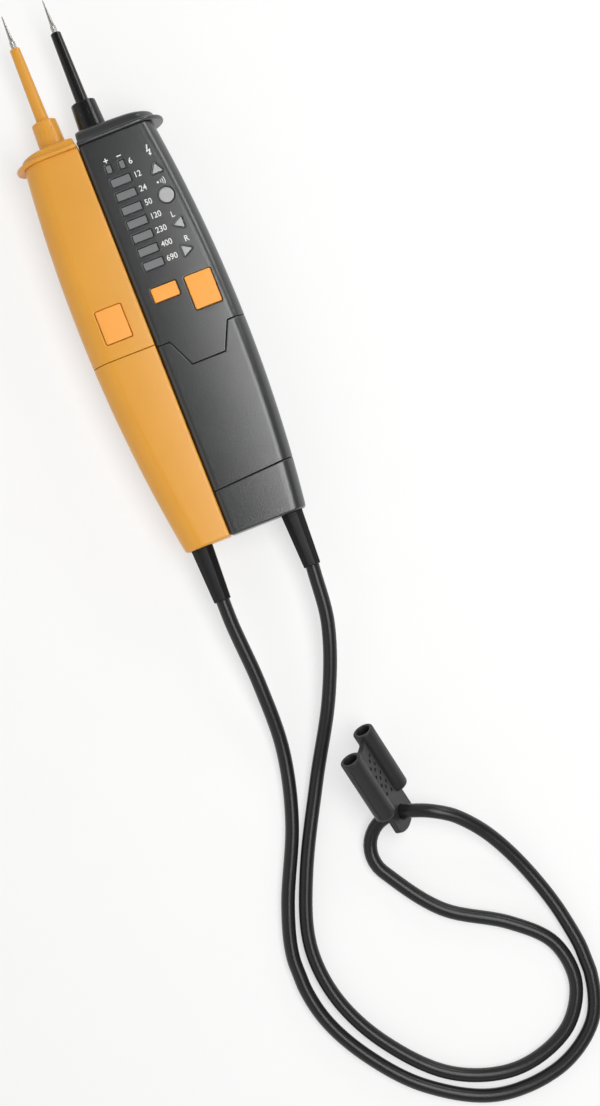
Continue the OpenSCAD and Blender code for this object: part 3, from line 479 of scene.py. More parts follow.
# A closed lower end: one ring of skin points per level, a rounded bottom edge and a rounded rim on top.
def endCup(name, shape, topAt):
    bottom, rim = cup["round"], pair["edge"]
    b1, b2, b3, b4, b5 = (float(v) for v in runs(shape, cup["ringY"]))
    lipParts, cornerParts = cup["lipParts"], cup["cornerParts"]
    columns = [*cup["side"], b1 - cup["beforeLip"], b1]
    columns += [b1 + (b2 - b1) * k / lipParts for k in range(1, lipParts)] + [b2, b2 + 1]
    columns += list(np.linspace(b2 + 1, b3, cup["faceParts"]))[1:]
    columns += [b3 + (b4 - b3) * k / cornerParts for k in range(1, cornerParts)]
    columns += [b4 + (b5 - b4) * share for share in cup["outer"]]
    columns = np.array(columns)

    # the columns past the lip shift with the handle's outer side as the level rises
    def ringAt(level, inset):
        x, _ = skin(shape, columns, np.full(len(columns), cup["ringY"]), inset)
        y = np.array([float(level(v)) for v in x])
        share = np.clip((columns - b2 - 1) / (b3 - b2 - 1), 0, 1)
        shift = (runs(shape, np.maximum(y, 0))[4] - b5) * share
        x, z = skin(shape, columns + np.where(columns > b2 + 1.5, shift, 0), np.maximum(y, 0), inset)
        front = placed(shape, x, y, pair["depth"] / 2 + z)
        rear = placed(shape, x, y, pair["depth"] / 2 - z)
        return np.concatenate([front, rear[::-1][:-1]])

    loops = []
    for t in quarterTurn(8):
        loops.append(ringAt(lambda x, t=t: bottom * (1 - math.cos(t)), bottom * (1 - math.sin(t))))
    for share in np.linspace(0, 1, 20)[1:]:
        loops.append(ringAt(lambda x, f=share: bottom + (topAt(x) - rim - cup["rimClear"] - bottom) * f, 0.0))
    for t in quarterTurn(5):
        loops.append(ringAt(lambda x, t=t: topAt(x) - rim + rim * math.sin(t), rim * (1 - math.cos(t))))
    loops.append(ringAt(topAt, pair["wall"]))
    loops.append(ringAt(lambda x: bottom + cup["floor"], pair["wall"]))
    return meshObject(name, *rings(loops))


print("building materials")


def hexColour(code):
    values = [int(code[i:i + 2], 16) / 255 for i in (1, 3, 5)]
    return (*[v / 12.92 if v <= 0.04045 else ((v + 0.055) / 1.055) ** 2.4 for v in values], 1)


def addNode(tree, kind, values=None, links=None, **settings):
    made = tree.nodes.new(kind)
    for key, value in settings.items():
        setattr(made, key, value)
    for key, value in (values or {}).items():
        made.inputs[key].default_value = value
    for key, source in (links or {}).items():
        tree.links.new(source, made.inputs[key])
    return made


# Every finish: a slow change of tone, a fine grain in the normal and a roughness that wanders a little.
def makeMaterial(name, spec):
    material = bpy.data.materials.new(name)
    material.use_nodes = True
    tree = material.node_tree
    tree.nodes.clear()
    place = addNode(tree, "ShaderNodeTexCoord").outputs["Object"]
    broad = addNode(tree, "ShaderNodeTexNoise", {"Scale": 1000 / spec["cloud"], "Detail": 3.0},
                    {"Vector": place}).outputs[0]
    tone = addNode(tree, "ShaderNodeMix", {6: hexColour(spec["colour"]), 7: hexColour(spec["shade"])},
                   {0: broad}, data_type="RGBA")
    worn = addNode(tree, "ShaderNodeMapRange", {"To Min": spec["rough"] - spec["roughSpread"],
                                                "To Max": spec["rough"] + spec["roughSpread"]},
                   {"Value": broad})
    grain = addNode(tree, "ShaderNodeTexNoise", {"Scale": 1000 / spec["grain"], "Detail": 2.0},
                    {"Vector": place})
    bump = addNode(tree, "ShaderNodeBump", {"Strength": spec["grainDepth"], "Distance": 0.0001},
                   {"Height": grain.outputs[0]})
    surface = addNode(tree, "ShaderNodeBsdfPrincipled",
                      {"Metallic": spec.get("metal", 0.0), "Coat Weight": spec.get("coat", 0.0),
                       "Coat Roughness": 0.2, "Specular IOR Level": spec.get("specular", 0.5),
                       "Subsurface Weight": spec.get("subsurface", 0.0), "Subsurface Scale": 0.001},
                      {"Base Color": tone.outputs[2], "Roughness": worn.outputs[0],
                       "Normal": bump.outputs[0]})
    addNode(tree, "ShaderNodeOutputMaterial", {}, {"Surface": surface.outputs[0]})
    return material


# Grain and cloud are sizes in millimetres. The real grains, 0.05 to 0.15 mm, are finer than the render's
# 0.5 mm pixels, so each is drawn as coarse as it needs to show; only turning marks are near their real pitch.
def finish(colour, shade, rough, grain=0.4, grainDepth=0.2, roughSpread=0.05, cloud=33.0, **more):
    return {"colour": colour, "shade": shade, "rough": rough, "grain": grain,
            "grainDepth": grainDepth, "roughSpread": roughSpread, "cloud": cloud, **more}


finishes = {
    # spark eroded mould texture: an even charcoal that mirrors nothing but brightens towards the lamp
    "sparkErodedBlackAbs": finish("#28292a", "#222324", 0.31, 0.56, 0.4, specular=1.0),
    # polished mould: deep gloss that draws the lamps as long streaks on socket and probe sleeve
    "polishedBlackAbs": finish("#0d0d0e", "#09090a", 0.25, 1.1, 0.08, 0.03),
    # satin mould and a trace of light inside: warm orange yellow with soft rounded edges
    "satinYellowAbs": finish("#e9a63e", "#df9c36", 0.33, 0.62, 0.1, 0.03, subsurface=0.04),
    # two-shot moulded soft key: a brighter orange than the housing with a dull, even skin
    "softTouchOrange": finish("#ffaf4e", "#ffa844", 0.5, 0.45, 0.25, 0.04, subsurface=0.08),
    # clear moulded acrylic tinted smoke: flat mid grey with a thin bright edge
    "smokedAcrylic": finish("#797a7b", "#707172", 0.34, 2.5, 0.05, 0.03, coat=0.3),
    # frosted moulded acrylic: milky grey that glows a little and shows no lamp
    "frostedAcrylic": finish("#b7b8b8", "#aeafaf", 0.45, 1.7, 0.05, 0.03, subsurface=0.1),
    # turned brass, nickel plated: warm silver with fine turning marks
    "nickelPlatedBrass": finish("#c9c8c4", "#b4b2ad", 0.27, 0.33, 0.15, 0.06, metal=1.0),
    # extruded soft PVC: a greyish black with a soft waxy streak along the curve
    "extrudedSoftPvc": finish("#202021", "#1b1b1c", 0.31, 1.4, 0.12, 0.04, specular=0.4),
    # injection moulded soft PVC: the darkest part, its facets told apart only by a faint sheen
    "mouldedSoftPvc": finish("#0c0c0d", "#09090a", 0.42, 0.77, 0.2, 0.04, specular=0.28),
    # compression moulded rubber: dusty charcoal, no streaks
    "mouldedRubber": finish("#262627", "#1e1e1f", 0.42, 0.67, 0.3, 0.05),
    # screen printed white ink: flat, slightly warm, stands out from the charcoal
    "screenPrintWhite": finish("#f2f2ee", "#e9e9e4", 0.6, 0.4, 0.1),
    # screen printed black ink: a dead flat outline darker than the housing
    "screenPrintBlack": finish("#060606", "#0a0a0a", 0.7, 0.4, 0.1, specular=0.2),
    # cast silicone: pale chalky grey that looks soft beside the board
    "castSiliconeGrey": finish("#8d8d8b", "#7f7f7d", 0.6, 0.83, 0.2),
    # curtain coated solder mask: wet looking bottle green
    "greenSolderMask": finish("#1c6b3a", "#155a30", 0.35, 1.1, 0.15, coat=0.3),
    # transfer moulded epoxy: matt black blocks with a slight grey cast
    "mouldedBlackEpoxy": finish("#1b1b1c", "#232324", 0.55, 0.5, 0.3),
    # dipped lacquer over ceramic: tan bodies with a glazed highlight
    "lacqueredCeramic": finish("#b79a6b", "#a88a5c", 0.35, 1.25, 0.1, coat=0.4),
    # cast clear resin: cream lamps with a sharp sparkle
    "castLedResin": finish("#e8e6c8", "#d8d6b8", 0.2, 2.0, 0.05, coat=0.5),
    # heat shrunk film: blue cell jackets with a broad glossy band
    "shrunkBlueFilm": finish("#3c4c7a", "#33426c", 0.33, 2.0, 0.08, cloud=17.0, coat=0.3),
    # stamped steel, nickel plated: greyer and more clouded than the probe tips
    "nickelPlatedSteel": finish("#bdbbb2", "#a8a69d", 0.33, 0.67, 0.2, 0.08, metal=1.0),
    # cold headed steel, zinc plated: cool dull screw heads
    "zincPlatedSteel": finish("#a9abad", "#95979a", 0.38, 0.56, 0.25, 0.08, metal=1.0),
    # extruded wire PVC: plain satin red and blue that tell the wires apart
    "redWirePvc": finish("#a3231f", "#8f1d1a", 0.45, 1.1, 0.1),
    "blueWirePvc": finish("#27407f", "#203770", 0.45, 1.1, 0.1),
}
materials = {name: makeMaterial(name, spec) for name, spec in finishes.items()}


# What repeats is set out by one Geometry Nodes group: a piece on every point, turned as the point says.
def repeatGroup():
    tree = bpy.data.node_groups.new("repeatPiece", "GeometryNodeTree")
    for name, kind in (("Places", "NodeSocketGeometry"), ("Piece", "NodeSocketObject"),
                       ("Finish", "NodeSocketMaterial")):
        tree.interface.new_socket(name, in_out="INPUT", socket_type=kind)
    tree.interface.new_socket("Pieces", in_out="OUTPUT", socket_type="NodeSocketGeometry")
    start = addNode(tree, "NodeGroupInput").outputs
    piece = addNode(tree, "GeometryNodeObjectInfo", {}, {"Object": start["Piece"]})
    turn = addNode(tree, "GeometryNodeInputNamedAttribute", {"Name": "turn"}, data_type="FLOAT_VECTOR")
    rotation = addNode(tree, "FunctionNodeEulerToRotation", {}, {"Euler": turn.outputs[0]})
    placing = addNode(tree, "GeometryNodeInstanceOnPoints", {},
                      {"Points": start["Places"], "Instance": piece.outputs["Geometry"],
                       "Rotation": rotation.outputs[0]})
    real = addNode(tree, "GeometryNodeRealizeInstances", {}, {"Geometry": placing.outputs[0]})
    painted = addNode(tree, "GeometryNodeSetMaterial", {},
                      {"Geometry": real.outputs[0], "Material": start["Finish"]})
    addNode(tree, "NodeGroupOutput", {}, {"Pieces": painted.outputs[0]})
    return tree


repeatTree = repeatGroup()


def repeats(name, piece, places, turns, material):
    host = bpy.data.meshes.new(name + "Host")
    host.from_pydata([tuple(v / 1000 for v in p) for p in places], [], [])
    attribute = host.attributes.new("turn", "FLOAT_VECTOR", "POINT")
    attribute.data.foreach_set("vector", [float(v) for t in turns for v in t])
    obj = linked(name + "Host", host)
    modifier = obj.modifiers.new("repeat", "NODES")
    modifier.node_group = repeatTree
    ids = {item.name: item.identifier for item in repeatTree.interface.items_tree if item.in_out == "INPUT"}
    modifier[ids["Piece"]] = piece
    modifier[ids["Finish"]] = materials[material]
    piece.hide_render = True
    mesh = evaluatedMesh(obj)
    obj.modifiers.remove(modifier)
    bpy.data.objects.remove(obj)
    bpy.data.objects.remove(piece)
    return linked(name, mesh)


print("building the camera and the lead")

# straight above the tester, turned as the photograph is; place in metres
view = {"place": (0.02205, -0.1461, 1.035), "roll": -21.5, "lens": 67.15, "sensor": 36}
cameraData = bpy.data.cameras.new("camera")
cameraData.sensor_fit = "VERTICAL"
cameraData.sensor_height = view["sensor"]
cameraData.sensor_width = view["sensor"]
cameraData.lens = view["lens"]
camera = linked("camera", cameraData)
camera.location = view["place"]
camera.rotation_euler = (0, 0, math.radians(view["roll"]))
bpy.context.scene.camera = camera

lead = {"d": 7.0, "sides": 20, "step": 3.0, "start": (-22, -154, 17.5), "length": 1.0835}
leadRoute = np.array([
    [-22, -154, 17.5], [-22, -167, 17], [-20.5, -200, 12], [-22, -235, 5.5], [-31, -270, 3.5],
    [-48.5, -309, 3.5], [-55.5, -336, 3.5], [-52.5, -365, 3.5], [-39, -392, 3.5], [-17, -417, 3.5],
    [14, -434, 3.5], [48, -433, 3.5], [72, -417.5, 3.5], [80.5, -393, 3.5], [78, -364, 3.5],
    [70, -336, 4.8], [59, -312, 9.5], [47, -296.3, 14.4], [36.5, -288.8, 16.2], [26.5, -284.9, 13.9],
    [17.2, -283.7, 9.1], [8.6, -286, 6], [2.4, -292.2, 4.3], [0, -300.6, 3.6], [2.2, -309.3, 3.5],
    [22.8, -337.5, 3.5], [52, -356.5, 3.5], [69, -374, 3.5], [71.5, -397, 3.5], [57.5, -417, 3.5],
    [28, -425.5, 3.5], [-3, -415.5, 3.5], [-28, -389.5, 3.5], [-42.5, -360, 3.5], [-45, -330, 3.5],
    [-34, -297, 3.5], [-12, -255, 4.5], [9, -218, 11], [22, -184, 16.2], [25.5, -154, 17.5]])


# A smooth line through the route's points, kept inside the box of the part's own lead.
def routePoints(route, step):
    chords = np.linalg.norm(np.diff(route, axis=0), axis=1)
    slopes = np.zeros_like(route)
    slopes[0] = (route[1] - route[0]) / chords[0]
    slopes[-1] = (route[-1] - route[-2]) / chords[-1]
    for i in range(1, len(route) - 1):
        slopes[i] = (route[i + 1] - route[i - 1]) / (chords[i - 1] + chords[i])
    out = []
    for i, h in enumerate(chords):
        count = max(2, int(math.ceil(h / step)))
        for u in np.arange(count) / count:
            out.append((2 * u ** 3 - 3 * u ** 2 + 1) * route[i] + (u ** 3 - 2 * u ** 2 + u) * h * slopes[i]
                       + (3 * u ** 2 - 2 * u ** 3) * route[i + 1] + (u ** 3 - u ** 2) * h * slopes[i + 1])
    out.append(route[-1])
    low, high = (np.array(v) * 1000 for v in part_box("test_lead"))
    r = lead["d"] / 2 + 0.01
    return np.clip(out, low + r, high - (r, 0, r))


# Rings round the lead's middle line, each turned as little as it can be from the one before it.
def leadSkin(line):
    tangents = np.gradient(line, axis=0)
    tangents[0], tangents[-1] = (0, -1, 0), (0, 1, 0)
    tangents /= np.linalg.norm(tangents, axis=1, keepdims=True)
    turn = np.linspace(0, 2 * math.pi, lead["sides"], endpoint=False)[:, None]
    up = np.array([0.0, 0, 1])
    loops = []
    for point, tangent in zip(line, tangents):
        up = up - tangent * (up @ tangent)
        up /= np.linalg.norm(up)
        sideways = np.cross(tangent, up)
        loops.append(point + lead["d"] / 2 * (np.cos(turn) * sideways + np.sin(turn) * up))
    return rings(loops)


leadLine = routePoints(leadRoute, lead["step"])
testLead = meshObject("testLead", *leadSkin(leadLine), 60)
testLead.data.materials.append(materials["extrudedSoftPvc"])
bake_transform(testLead)
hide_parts("test_lead")

print("building the tip cap")

# Sizes in the cap's own frame: the lead's hole at the middle, the tubes along y, the web between at z = 0.
# step: between the tubes; start: where they begin; skinDeep: depth of the dimples; tab: how far the round end
# reaches; back and dip: the web's upper edge; foot, mouth and groove: the tubes' ends
cap = {"hole": np.array([21, -284, 10.9]), "turn": (38.3, 48.6, 41.3), "step": 21.6, "tube": 5.4, "bore": 3.6,
       "len": 38, "deep": 34, "start": 7.4, "web": 3.0, "skinDeep": 0.6, "tab": 8.4, "tabR": 16, "back": 2.6,
       "dip": 1.2, "dipR": 14, "leadHole": 4.0, "dimple": 0.85, "ridge": 0.22, "ridgeHalf": 0.3,
       "ridgeTilt": (0, 2.62), "foot": 1.7, "mouth": 0.45, "groove": 0.12, "edge": 0.25}


def capMatrix():
    turns = [math.radians(v) for v in cap["turn"]]
    (sx, cx), (sy, cy), (sz, cz) = ((math.sin(v), math.cos(v)) for v in turns)
    aboutX = np.array([[1, 0, 0], [0, cx, -sx], [0, sx, cx]])
    aboutY = np.array([[cy, 0, sy], [0, 1, 0], [-sy, 0, cy]])
    aboutZ = np.array([[cz, -sz, 0], [sz, cz, 0], [0, 0, 1]])
    return aboutZ @ aboutY @ aboutX


capTurn = capMatrix()


def inCap(points):
    return np.asarray(points) @ capTurn.T + cap["hole"]


def circle(x, y, r, count=28):
    turn = np.linspace(0, 2 * math.pi, count, endpoint=False)
    return np.stack([x + r * np.cos(turn), y + r * np.sin(turn)], 1)


# A tube: rounded closed end, a shallow groove near its mouth, and the bore that takes a probe point.
def capTube(side):
    r, b, n, deep = cap["tube"], cap["bore"], cap["len"], cap["deep"]
    foot, mouth, groove = cap["foot"], cap["mouth"], cap["groove"]
    profile = [(0.05, 0), (r * 0.4, 0.05), (r * 0.62, 0.3)]
    profile += [(r - foot + foot * math.sin(t), foot + 0.3 - foot * math.cos(t))
                for t in np.linspace(0.3, math.pi / 2, 7)]
    profile += [(r, h) for h in np.linspace(4, n - 2.6, 8)]
    profile += [(r, n - 2.0), (r - groove, n - 1.9), (r - groove, n - 1.7), (r, n - 1.6), (r, n - mouth)]
    profile += [(r - mouth + mouth * math.cos(t), n - mouth + mouth * math.sin(t))
                for t in np.linspace(0.4, math.pi / 2, 4)]
    profile += [(b + 0.35, n), (b + 0.1, n - 0.12), (b, n - 0.4)]
    profile += [(b, h) for h in np.linspace(n - 4, n - deep + 1.5, 6)]
    profile += [(b * 0.7, n - deep), (0.05, n - deep)]
    points, faces = lathe(profile, 44, (side * cap["step"] / 2, cap["start"], 0))
    return meshObject("capTube", inCap(points), faces)


# The web with its round tab below and its dipped edge above, from the lower edge round to the left.
def webOutline():
    half, wide = cap["step"] / 2 - cap["tube"] + 1.0, cap["step"] / 2 - 0.4
    top = cap["start"] + cap["len"] - cap["back"]
    tabMiddle = cap["tabR"] - cap["tab"]
    lower = [(x, tabMiddle - math.sqrt(cap["tabR"] ** 2 - x * x)) for x in np.linspace(-wide, wide, 25)]
    lower = [(-wide - 0.05, lower[0][1] + 0.9), (-wide + 0.2, lower[0][1] + 0.2)] + lower[1:-1]
    lower += [(wide - 0.2, lower[1][1]), (wide + 0.05, lower[0][1])]
    right = [(wide, 4.0), (wide, cap["start"] + 1.2), (half, cap["start"] + 2.4)]
    right += [(half, y) for y in np.linspace(cap["start"] + 5, top - 1.5, 12)]
    dipMiddle = top - cap["dip"] + cap["dipR"]
    upper = [(x, dipMiddle - math.sqrt(cap["dipR"] ** 2 - x * x)) for x in np.linspace(half, -half, 15)]
    left = [(-x, y) for x, y in reversed(right)]
    return np.array(lower + right + upper + left)


dimplePlaces = [(-2.6, 14.6), (2.6, 13.0), (0, 17.4), (-2.6, 20.2), (2.6, 18.8), (0, 23.0), (-2.6, 25.8),
                (2.6, 24.6), (0, 28.6), (-2.6, 31.4), (2.6, 30.4), (0, 34.2), (2.6, 35.8)]


def flatMap(z0, sign):
    def place(flat, sink):
        z = z0 - sign * sink
        return inCap(np.stack([flat[:, 0], flat[:, 1], np.broadcast_to(z, len(flat))], 1))
    return place


def webPiece(z0, sign, holes, thick, edge):
    return panel("capWeb", flatMap(z0, sign), flatMap(z0, sign), webOutline(), holes, [], thick, edge)


# The mould's parting ridge along a tube: a low bar with a slanted section.
def capRidge(side, tilt):
    wide = cap["ridgeHalf"]
    points = []
    for y in (cap["start"] + 3, cap["start"] + cap["len"] - 3.2):
        for away, aside in ((-wide, wide), (cap["ridge"], 0.1), (cap["ridge"], -0.1), (-wide, -wide)):
            r, turn = cap["tube"] + away, tilt + aside / cap["tube"]
            points.append([side * (cap["step"] / 2 + r * math.cos(turn)), y, r * math.sin(turn)])
    faces = [(0, 1, 5, 4), (1, 2, 6, 5), (2, 3, 7, 6), (3, 0, 4, 7), (0, 3, 2, 1), (4, 5, 6, 7)]
    return meshObject("capRidge", inCap(points), faces)


leadHole = circle(0, 0, cap["leadHole"], 40)
dimples = [circle(x, y, cap["dimple"], 20) for x, y in dimplePlaces]
webHalf, webCore = cap["web"] / 2, cap["web"] - 2 * cap["skinDeep"]
capParts = [capTube(-1), capTube(1),
            webPiece(webHalf, 1, [leadHole] + dimples, cap["skinDeep"], cap["edge"]),
            webPiece(webHalf - cap["skinDeep"] + 0.02, 1, [leadHole], webCore + 0.04, 0.02),
            webPiece(-webHalf, -1, [leadHole] + dimples, cap["skinDeep"], cap["edge"])]
capParts += [capRidge(side, tilt) for side in (-1, 1) for tilt in cap["ridgeTilt"]]
tipCap = finishPiece(joined("tipCap", capParts), "tip_cap", "cap_rubber", ["tip_cap"], "mouldedRubber")
[v / 1000 for v in lead["start"]]

print("building the housings")

# Places on the front: x from the side along the other handle, y from the handle's lower end. Seams and the
# notch come first, then the level windows (bar) and the polarity windows (pole); arrow and lamp are sizes.
layout = {"seamY": 98.6, "notchX": 21.8, "notchTop": 30, "notchLow": 17.2, "notchDeep": 14, "seamGap": 0.3,
          "secondSeamY": 100, "barX": 13.5, "barY": 136.5, "bars": 7, "pitch": 7.25, "barW": 10.2,
          "barL": 4.3, "poleW": 3, "poleStep": 6.8, "poleY": 187.25, "arrow": 5.6, "lamp": 7.4,
          "corner": 0.45, "fit": 0.05, "keyGap": 0.3}


def rectangle(x, y, w, l, r=0.0, steps=4):
    corners = [(x - w / 2, y - l / 2), (x + w / 2, y - l / 2), (x + w / 2, y + l / 2), (x - w / 2, y + l / 2)]
    return turnedCorners(corners, r, steps) if r else np.array(corners)


def arrowShape(x, y, turn, grow=0.0, r=0.35):
    reach = layout["arrow"] / math.sqrt(3) + 2 * grow
    corners = [(x + reach * math.cos(t), y + reach * math.sin(t))
               for t in (turn + k * 2 * math.pi / 3 for k in range(3))]
    return turnedCorners(corners, r + grow, 5)


windows = [("rect", layout["barX"], layout["barY"] + i * layout["pitch"], layout["barW"], layout["barL"])
           for i in range(layout["bars"])]
windows += [("rect", layout["barX"] + s * layout["poleStep"] / 2, layout["poleY"], layout["poleW"],
             layout["barL"]) for s in (-1, 1)]
# kind, x, y and the way an arrow points
signals = [("lamp", 31.6, 165.58), ("arrow", 31.6, 178.98, math.pi / 2), ("arrow", 32.6, 150.61, math.pi),
           ("arrow", 30.6, 137.21, 0.0)]


def windowShape(spec, grow):
    if spec[0] == "rect":
        return rectangle(spec[1], spec[2], spec[3] + 2 * grow, spec[4] + 2 * grow, layout["corner"] + grow)
    if spec[0] == "lamp":
        return circle(spec[1], spec[2], layout["lamp"] / 2 + grow, 40)
    return arrowShape(spec[1], spec[2], spec[3], grow)


def housing(obj, shape, body, node):
    finishPiece(obj, body, shape["slot"], [node], shape["finish"])


def inSkin(shape, loop):
    return np.stack([onFace(shape, loop[:, 0]), loop[:, 1]], 1)


# proud: how far a key stands above the face
keys = {"small": {"w": 13.1, "l": 7.2, "x": 13.75, "y": 121.9, "proud": 0.7, "shape": mainShape},
        "large": {"w": 13.4, "l": 17.0, "x": 31.4, "y": 116.6, "proud": 1.4, "shape": mainShape},
        "test": {"w": 13.3, "l": 16.9, "x": 15.0, "y": 116.4, "proud": 0.7, "shape": secondShape}}


def keyHole(key):
    grow = 2 * layout["keyGap"]
    return inSkin(key["shape"], rectangle(key["x"], key["y"], key["w"] + grow, key["l"] + grow, 1.0, 6))


# The notched cross seam's corners, lowered and widened for the cover's side of it.
def seamCorners(down, wider):
    high, low = layout["seamY"] - down, layout["seamY"] - layout["notchDeep"] - down
    corners = [(pair["splitGap"], high)]
    for side, width, y in ((-1, layout["notchTop"], high), (-1, layout["notchLow"], low),
                           (1, layout["notchLow"], low), (1, layout["notchTop"], high)):
        corners.append((float(onFace(mainShape, layout["notchX"] + side * (width / 2 + wider))), y))
    return corners + [(float(runs(mainShape, high)[4]) - pair["splitGap"], high)]


# A shell's outline: its bottom, the outer side, its top line and the inner side with the pegs' notches.
def loopFrom(shape, bottom, y1, notches, topLine=None):
    corners = list(bottom) + outerSide(shape, bottom[-1][1], y1)[1:]
    corners += list(topLine) if topLine else [(pair["splitGap"], y1)]
    for y in sorted(notches, reverse=True):
        corners += pegNotch(y)
    return sampled(shape, corners)


topY = pair["handleLen"]
frontHoles = [inSkin(mainShape, windowShape(w, layout["fit"])) for w in windows + signals]
frontHoles += [keyHole(keys["small"]), keyHole(keys["large"])]
mainFrontOutline = loopFrom(mainShape, seamCorners(0, 0), topY, [pegs["high"]])
housing(halfShell("mainFrontShell", mainShape, mainFrontOutline, frontHoles),
        mainShape, "root", "main_front_housing")

coverTop = seamCorners(layout["seamGap"], layout["seamGap"] / 2)[::-1]
coverOutline = loopFrom(mainShape, endSeamLine(), coverTop[0][1], [pegs["low"]], coverTop[1:])
housing(halfShell("batteryCoverShell", mainShape, coverOutline, []),
        mainShape, "battery_cover", "battery_cover")

screws = {"main": [(17.0, 197), (31.0, 197), (6.5, 102.1), (37.4, 102.1)], "cover": [(37.4, 56.08)],
          "second": [(4.6, 197), (18.4, 197), (6.5, 103.5), (21.4, 103.5)], "hole": 2.5}
boss = {"r": 3.0, "from": 1.9, "top": 16.5, "bevel": 0.3, "bore": 1.3, "boreFrom": 3}


def screwHoles(shape, places):
    return [inSkin(shape, circle(x, y, screws["hole"], 24)) for x, y in places]


def screwBoss(x, y):
    r, bore, top, bevel = boss["r"], boss["bore"], boss["top"], boss["bevel"]
    profile = [(r, boss["from"]), (r, top - bevel), (r - bevel, top), (bore + 0.1, top), (bore, top - 0.2),
               (bore, boss["boreFrom"])]
    return meshObject("boss", *lathe(profile, 28, placedPoint(mainShape, x, y, 0), "z"))


rearOutline = loopFrom(mainShape, endSeamLine(), topY, [pegs["low"], pegs["high"]])
rearShell = halfShell("mainRearShell", mainShape, rearOutline,
                      screwHoles(mainShape, screws["main"] + screws["cover"]), rear=True)
bosses = [screwBoss(x, y) for x, y in screws["cover"] + screws["main"][2:]]
housing(joined("mainRearShell", [rearShell] + bosses), mainShape, "root", "main_rear_housing")

secondEnd = float(runs(secondShape, layout["secondSeamY"])[4]) - pair["splitGap"]
secondSeam = [(pair["splitGap"], layout["secondSeamY"]), (secondEnd, layout["secondSeamY"])]
secondOutline = loopFrom(secondShape, secondSeam, topY, [pegs["high"]])
housing(halfShell("secondFrontShell", secondShape, secondOutline, [keyHole(keys["test"])]),
        secondShape, "second_handle", "second_front_housing")
secondHoles = screwHoles(secondShape, screws["second"])
housing(halfShell("secondRearShell", secondShape, secondOutline, secondHoles, rear=True, band=0.1),
        secondShape, "second_handle", "second_rear_housing")
housing(endCup("mainEndCup", mainShape, endSeamLevel), mainShape, "root", "main_end_cap")
housing(endCup("secondGripSleeve", secondShape, lambda x: layout["secondSeamY"] - layout["seamGap"]),
        secondShape, "second_handle", "second_grip_sleeve")

print("building guards and probes")

# x: the probe's place across the handle; w: the guard's width; collar: how high its collar rises
probes = {"main": {"name": "main", "shape": mainShape, "x": 9.8, "w": 43.8, "collar": 5.6, "socketEnd": 225.8,
                   "rootR": 7.0, "body": "root", "slot": "main_nose", "finish": "polishedBlackAbs",
                   "rimFinish": "sparkErodedBlackAbs"},
          "second": {"name": "second", "shape": secondShape, "x": 11.4, "w": 32.8, "collar": 4.2,
                     "socketEnd": 223.7, "rootR": 6.7, "body": "second_handle", "slot": "second_housing",
                     "finish": "satinYellowAbs", "rimFinish": "satinYellowAbs"}}
# t: the flange's thickness; round: its edge; foot: from its edge to the collar; cove: rows of the hollow
# between them, in from the outer side, the faces and the inner side, and up; fall: how much lower the collar
# ends outside
guard = {"t": 2.2, "oval": 13, "corner": 1.2, "round": 0.95, "inner": 0.3, "foot": 3.1, "coveOval": 12,
         "cove": ((2.5, 2.4, 0.4, 0.02), (3.1, 2.85, 0.5, 0.2), (3.3, 3.1, 0.5, 0.6)), "fall": 0.32,
         "wallOval": 11.8, "wallDrop": 0.55, "topOval": 11.6, "topDrop": 0.42, "shoulder": 3.6,
         "inside": (2.5, 5.0)}
socket = {"bore": 3.2, "skirt": 2.2, "cove": 1.9, "sunk": 0.35, "topR": 6.3, "edge": 0.7, "mouthR": 4.1}
# rows: size share and height of the ribs' section; below: from the socket's end; angles: in front and behind
ribShape = {"w": 0.5, "len": 6.0, "round": 0.22, "rows": ((1, -0.3), (1, 0.12), (0.7, 0.28)), "r": 6.4,
            "below": 7.5, "angles": (-30, -10, 10, 30)}


# Outline of a guard across the probe: straight beside the other handle, oval outside. It lies sideIn, faceIn
# and innerIn inside the guard's outer side, its faces and its inner side; y is a height or gives one per x.
def guardRing(p, sideIn, faceIn, innerIn, oval, corner, y):
    w = p["w"] - sideIn
    low, high = faceIn, 2 * pair["axisZ"] - faceIn
    flatLen, halfHigh = w - oval - innerIn - corner, (high - low) / 2
    points = arc(innerIn + corner, low + corner, corner, math.pi, 1.5 * math.pi, 6)
    for f in np.linspace(0, 1, 8)[1:]:
        points.append((innerIn + corner + flatLen * f, low))
    for t in np.linspace(-math.pi / 2, math.pi / 2, 31)[1:]:
        points.append((w - oval + oval * math.cos(t), pair["axisZ"] + halfHigh * math.sin(t)))
    for f in np.linspace(1, 0, 8)[1:]:
        points.append((innerIn + corner + flatLen * f, high))
    points += arc(innerIn + corner, high - corner, corner, math.pi / 2, math.pi, 6)[1:]
    for f in np.linspace(0, 1, 8)[1:-1]:
        points.append((innerIn, high - corner + (low - high + 2 * corner) * f))
    flat = np.array(points)
    return placed(p["shape"], flat[:, 0], y if np.isscalar(y) else y(flat[:, 0]), flat[:, 1])


